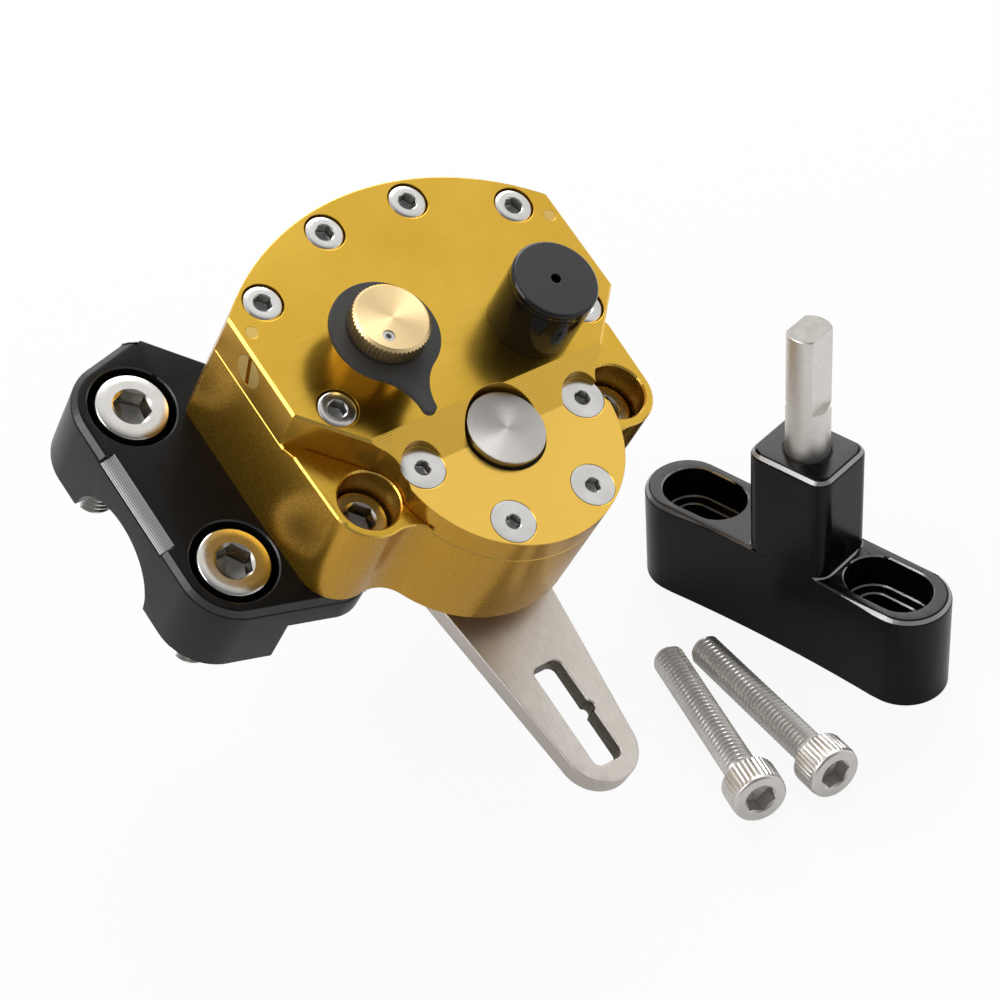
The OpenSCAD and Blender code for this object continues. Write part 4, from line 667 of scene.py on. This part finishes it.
ball_at = SEAT_DEPTH - sqrt(BALL_R ** 2 - SEAT_R ** 2) - PLAY
relief_length = ball_at - BALL_R - PLUG_L - 2 * PLAY
inward = Matrix.Rotation(pi / 2, 4, "Y")
relief_wire = spring(1.35, 0.2, relief_length, 3.0)
relief_coil = piece("relief_coil", "housing",
                    [(relief_wire, at(RELIEF_X + PLUG_L + PLAY, RELIEF_Y, RELIEF_Z) @ inward)],
                    inner_steel, replaces="relief_spring")
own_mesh(relief_coil)


# Floor, light and surroundings: shares of plain white in the floor, seen straight and mirrored, and strengths
# of the sky, as light and as what metal mirrors

FLOOR_SEEN, FLOOR_MIRRORED = 0.91, 0.15
AROUND, TENT, OPENING = 0.55, 0.92, 0.22


def flat_board(name, size, matrix, material):
    """A square sheet of the stage, not of the part."""
    mesh = bpy.data.meshes.new(name)
    h = size / 2
    mesh.from_pydata([(-h, -h, 0), (h, -h, 0), (h, h, 0), (-h, h, 0)], [], [(0, 1, 2, 3)])
    mesh.materials.append(material)
    board = bpy.data.objects.new(name, mesh)
    board.matrix_world = matrix
    scene.collection.objects.link(board)


floor_mat = bpy.data.materials.new("floor_white")
floor_mat.use_nodes = True
tree = floor_mat.node_tree
tree.nodes.clear()
floor_out = tree.nodes.new("ShaderNodeOutputMaterial")
floor_diffuse = tree.nodes.new("ShaderNodeBsdfDiffuse")
floor_diffuse.inputs["Color"].default_value = (0.80, 0.80, 0.80, 1)
floor_glow = tree.nodes.new("ShaderNodeEmission")
floor_glow.inputs["Strength"].default_value = 1.0
floor_mix = tree.nodes.new("ShaderNodeMixShader")
paths = tree.nodes.new("ShaderNodeLightPath")


def straight(paths):
    """1 where the surroundings are seen straight or through glass."""
    node = tree.nodes.new("ShaderNodeMath")
    node.operation = "MAXIMUM"
    tree.links.new(paths.outputs["Is Camera Ray"], node.inputs[0])
    tree.links.new(paths.outputs["Is Transmission Ray"], node.inputs[1])
    return node.outputs[0]


share = tree.nodes.new("ShaderNodeMath")
share.operation = "MULTIPLY"
share.inputs[1].default_value = FLOOR_SEEN
tree.links.new(straight(paths), share.inputs[0])
mirrored = tree.nodes.new("ShaderNodeMath")
mirrored.operation = "MULTIPLY_ADD"
mirrored.inputs[1].default_value = FLOOR_MIRRORED
tree.links.new(paths.outputs["Is Glossy Ray"], mirrored.inputs[0])
tree.links.new(share.outputs[0], mirrored.inputs[2])
tree.links.new(mirrored.outputs[0], floor_mix.inputs["Fac"])
tree.links.new(floor_diffuse.outputs[0], floor_mix.inputs[1])
tree.links.new(floor_glow.outputs[0], floor_mix.inputs[2])
tree.links.new(floor_mix.outputs[0], floor_out.inputs["Surface"])
flat_board("floor", 8, Matrix.Translation((0, 0, -0.00005)), floor_mat)

world = bpy.data.worlds.new("studio")
scene.world = world
world.use_nodes = True
tree = world.node_tree
tree.nodes.clear()
world_out = tree.nodes.new("ShaderNodeOutputWorld")


def sky(strength):
    """A white sky of that strength."""
    node = tree.nodes.new("ShaderNodeBackground")
    node.inputs["Color"].default_value = (1, 1, 1, 1)
    node.inputs["Strength"].default_value = strength
    return node


def either(share, a, b):
    """The first shader where share is 0, the second where it is 1."""
    node = tree.nodes.new("ShaderNodeMixShader")
    tree.links.new(share, node.inputs["Fac"])
    tree.links.new(a.outputs[0], node.inputs[1])
    tree.links.new(b.outputs[0], node.inputs[2])
    return node


# What shines in the metal is a bright tent that is open, and so darker, to the front and right
paths = tree.nodes.new("ShaderNodeLightPath")
tent = sky(TENT)
lean = tree.nodes.new("ShaderNodeVectorMath")
lean.operation = "DOT_PRODUCT"
tree.links.new(tree.nodes.new("ShaderNodeTexCoord").outputs["Generated"], lean.inputs[0])
lean.inputs[1].default_value = Vector((0.65, -0.50, 0.57)).normalized()
fade = tree.nodes.new("ShaderNodeMapRange")
fade.interpolation_type = "SMOOTHSTEP"
for key, value in (("From Min", 0.35), ("From Max", 0.80), ("To Min", TENT), ("To Max", OPENING)):
    fade.inputs[key].default_value = value
tree.links.new(lean.outputs["Value"], fade.inputs["Value"])
tree.links.new(fade.outputs["Result"], tent.inputs["Strength"])
seen = either(paths.outputs["Is Glossy Ray"], sky(AROUND), tent)
seen = either(straight(paths), seen, sky(1.0))
tree.links.new(seen.outputs[0], world_out.inputs["Surface"])


def area(name, at_m, aim, size, power):
    """A soft lamp, aimed; places and sizes in metres, power in watts."""
    lamp = bpy.data.lights.new(name, "AREA")
    lamp.shape = "RECTANGLE"
    lamp.size, lamp.size_y = size
    lamp.energy = power
    obj = bpy.data.objects.new(name, lamp)
    obj.location = at_m
    obj.rotation_euler = (Vector(aim) - Vector(at_m)).to_track_quat("-Z", "Y").to_euler()
    scene.collection.objects.link(obj)


area("key", (-0.57, 0.60, 0.75), (0, -0.03, 0.03), (0.8, 0.8), 8.2)
area("fill", (-0.33, -0.74, 0.72), (0, -0.03, 0.03), (0.6, 0.6), 3.4)
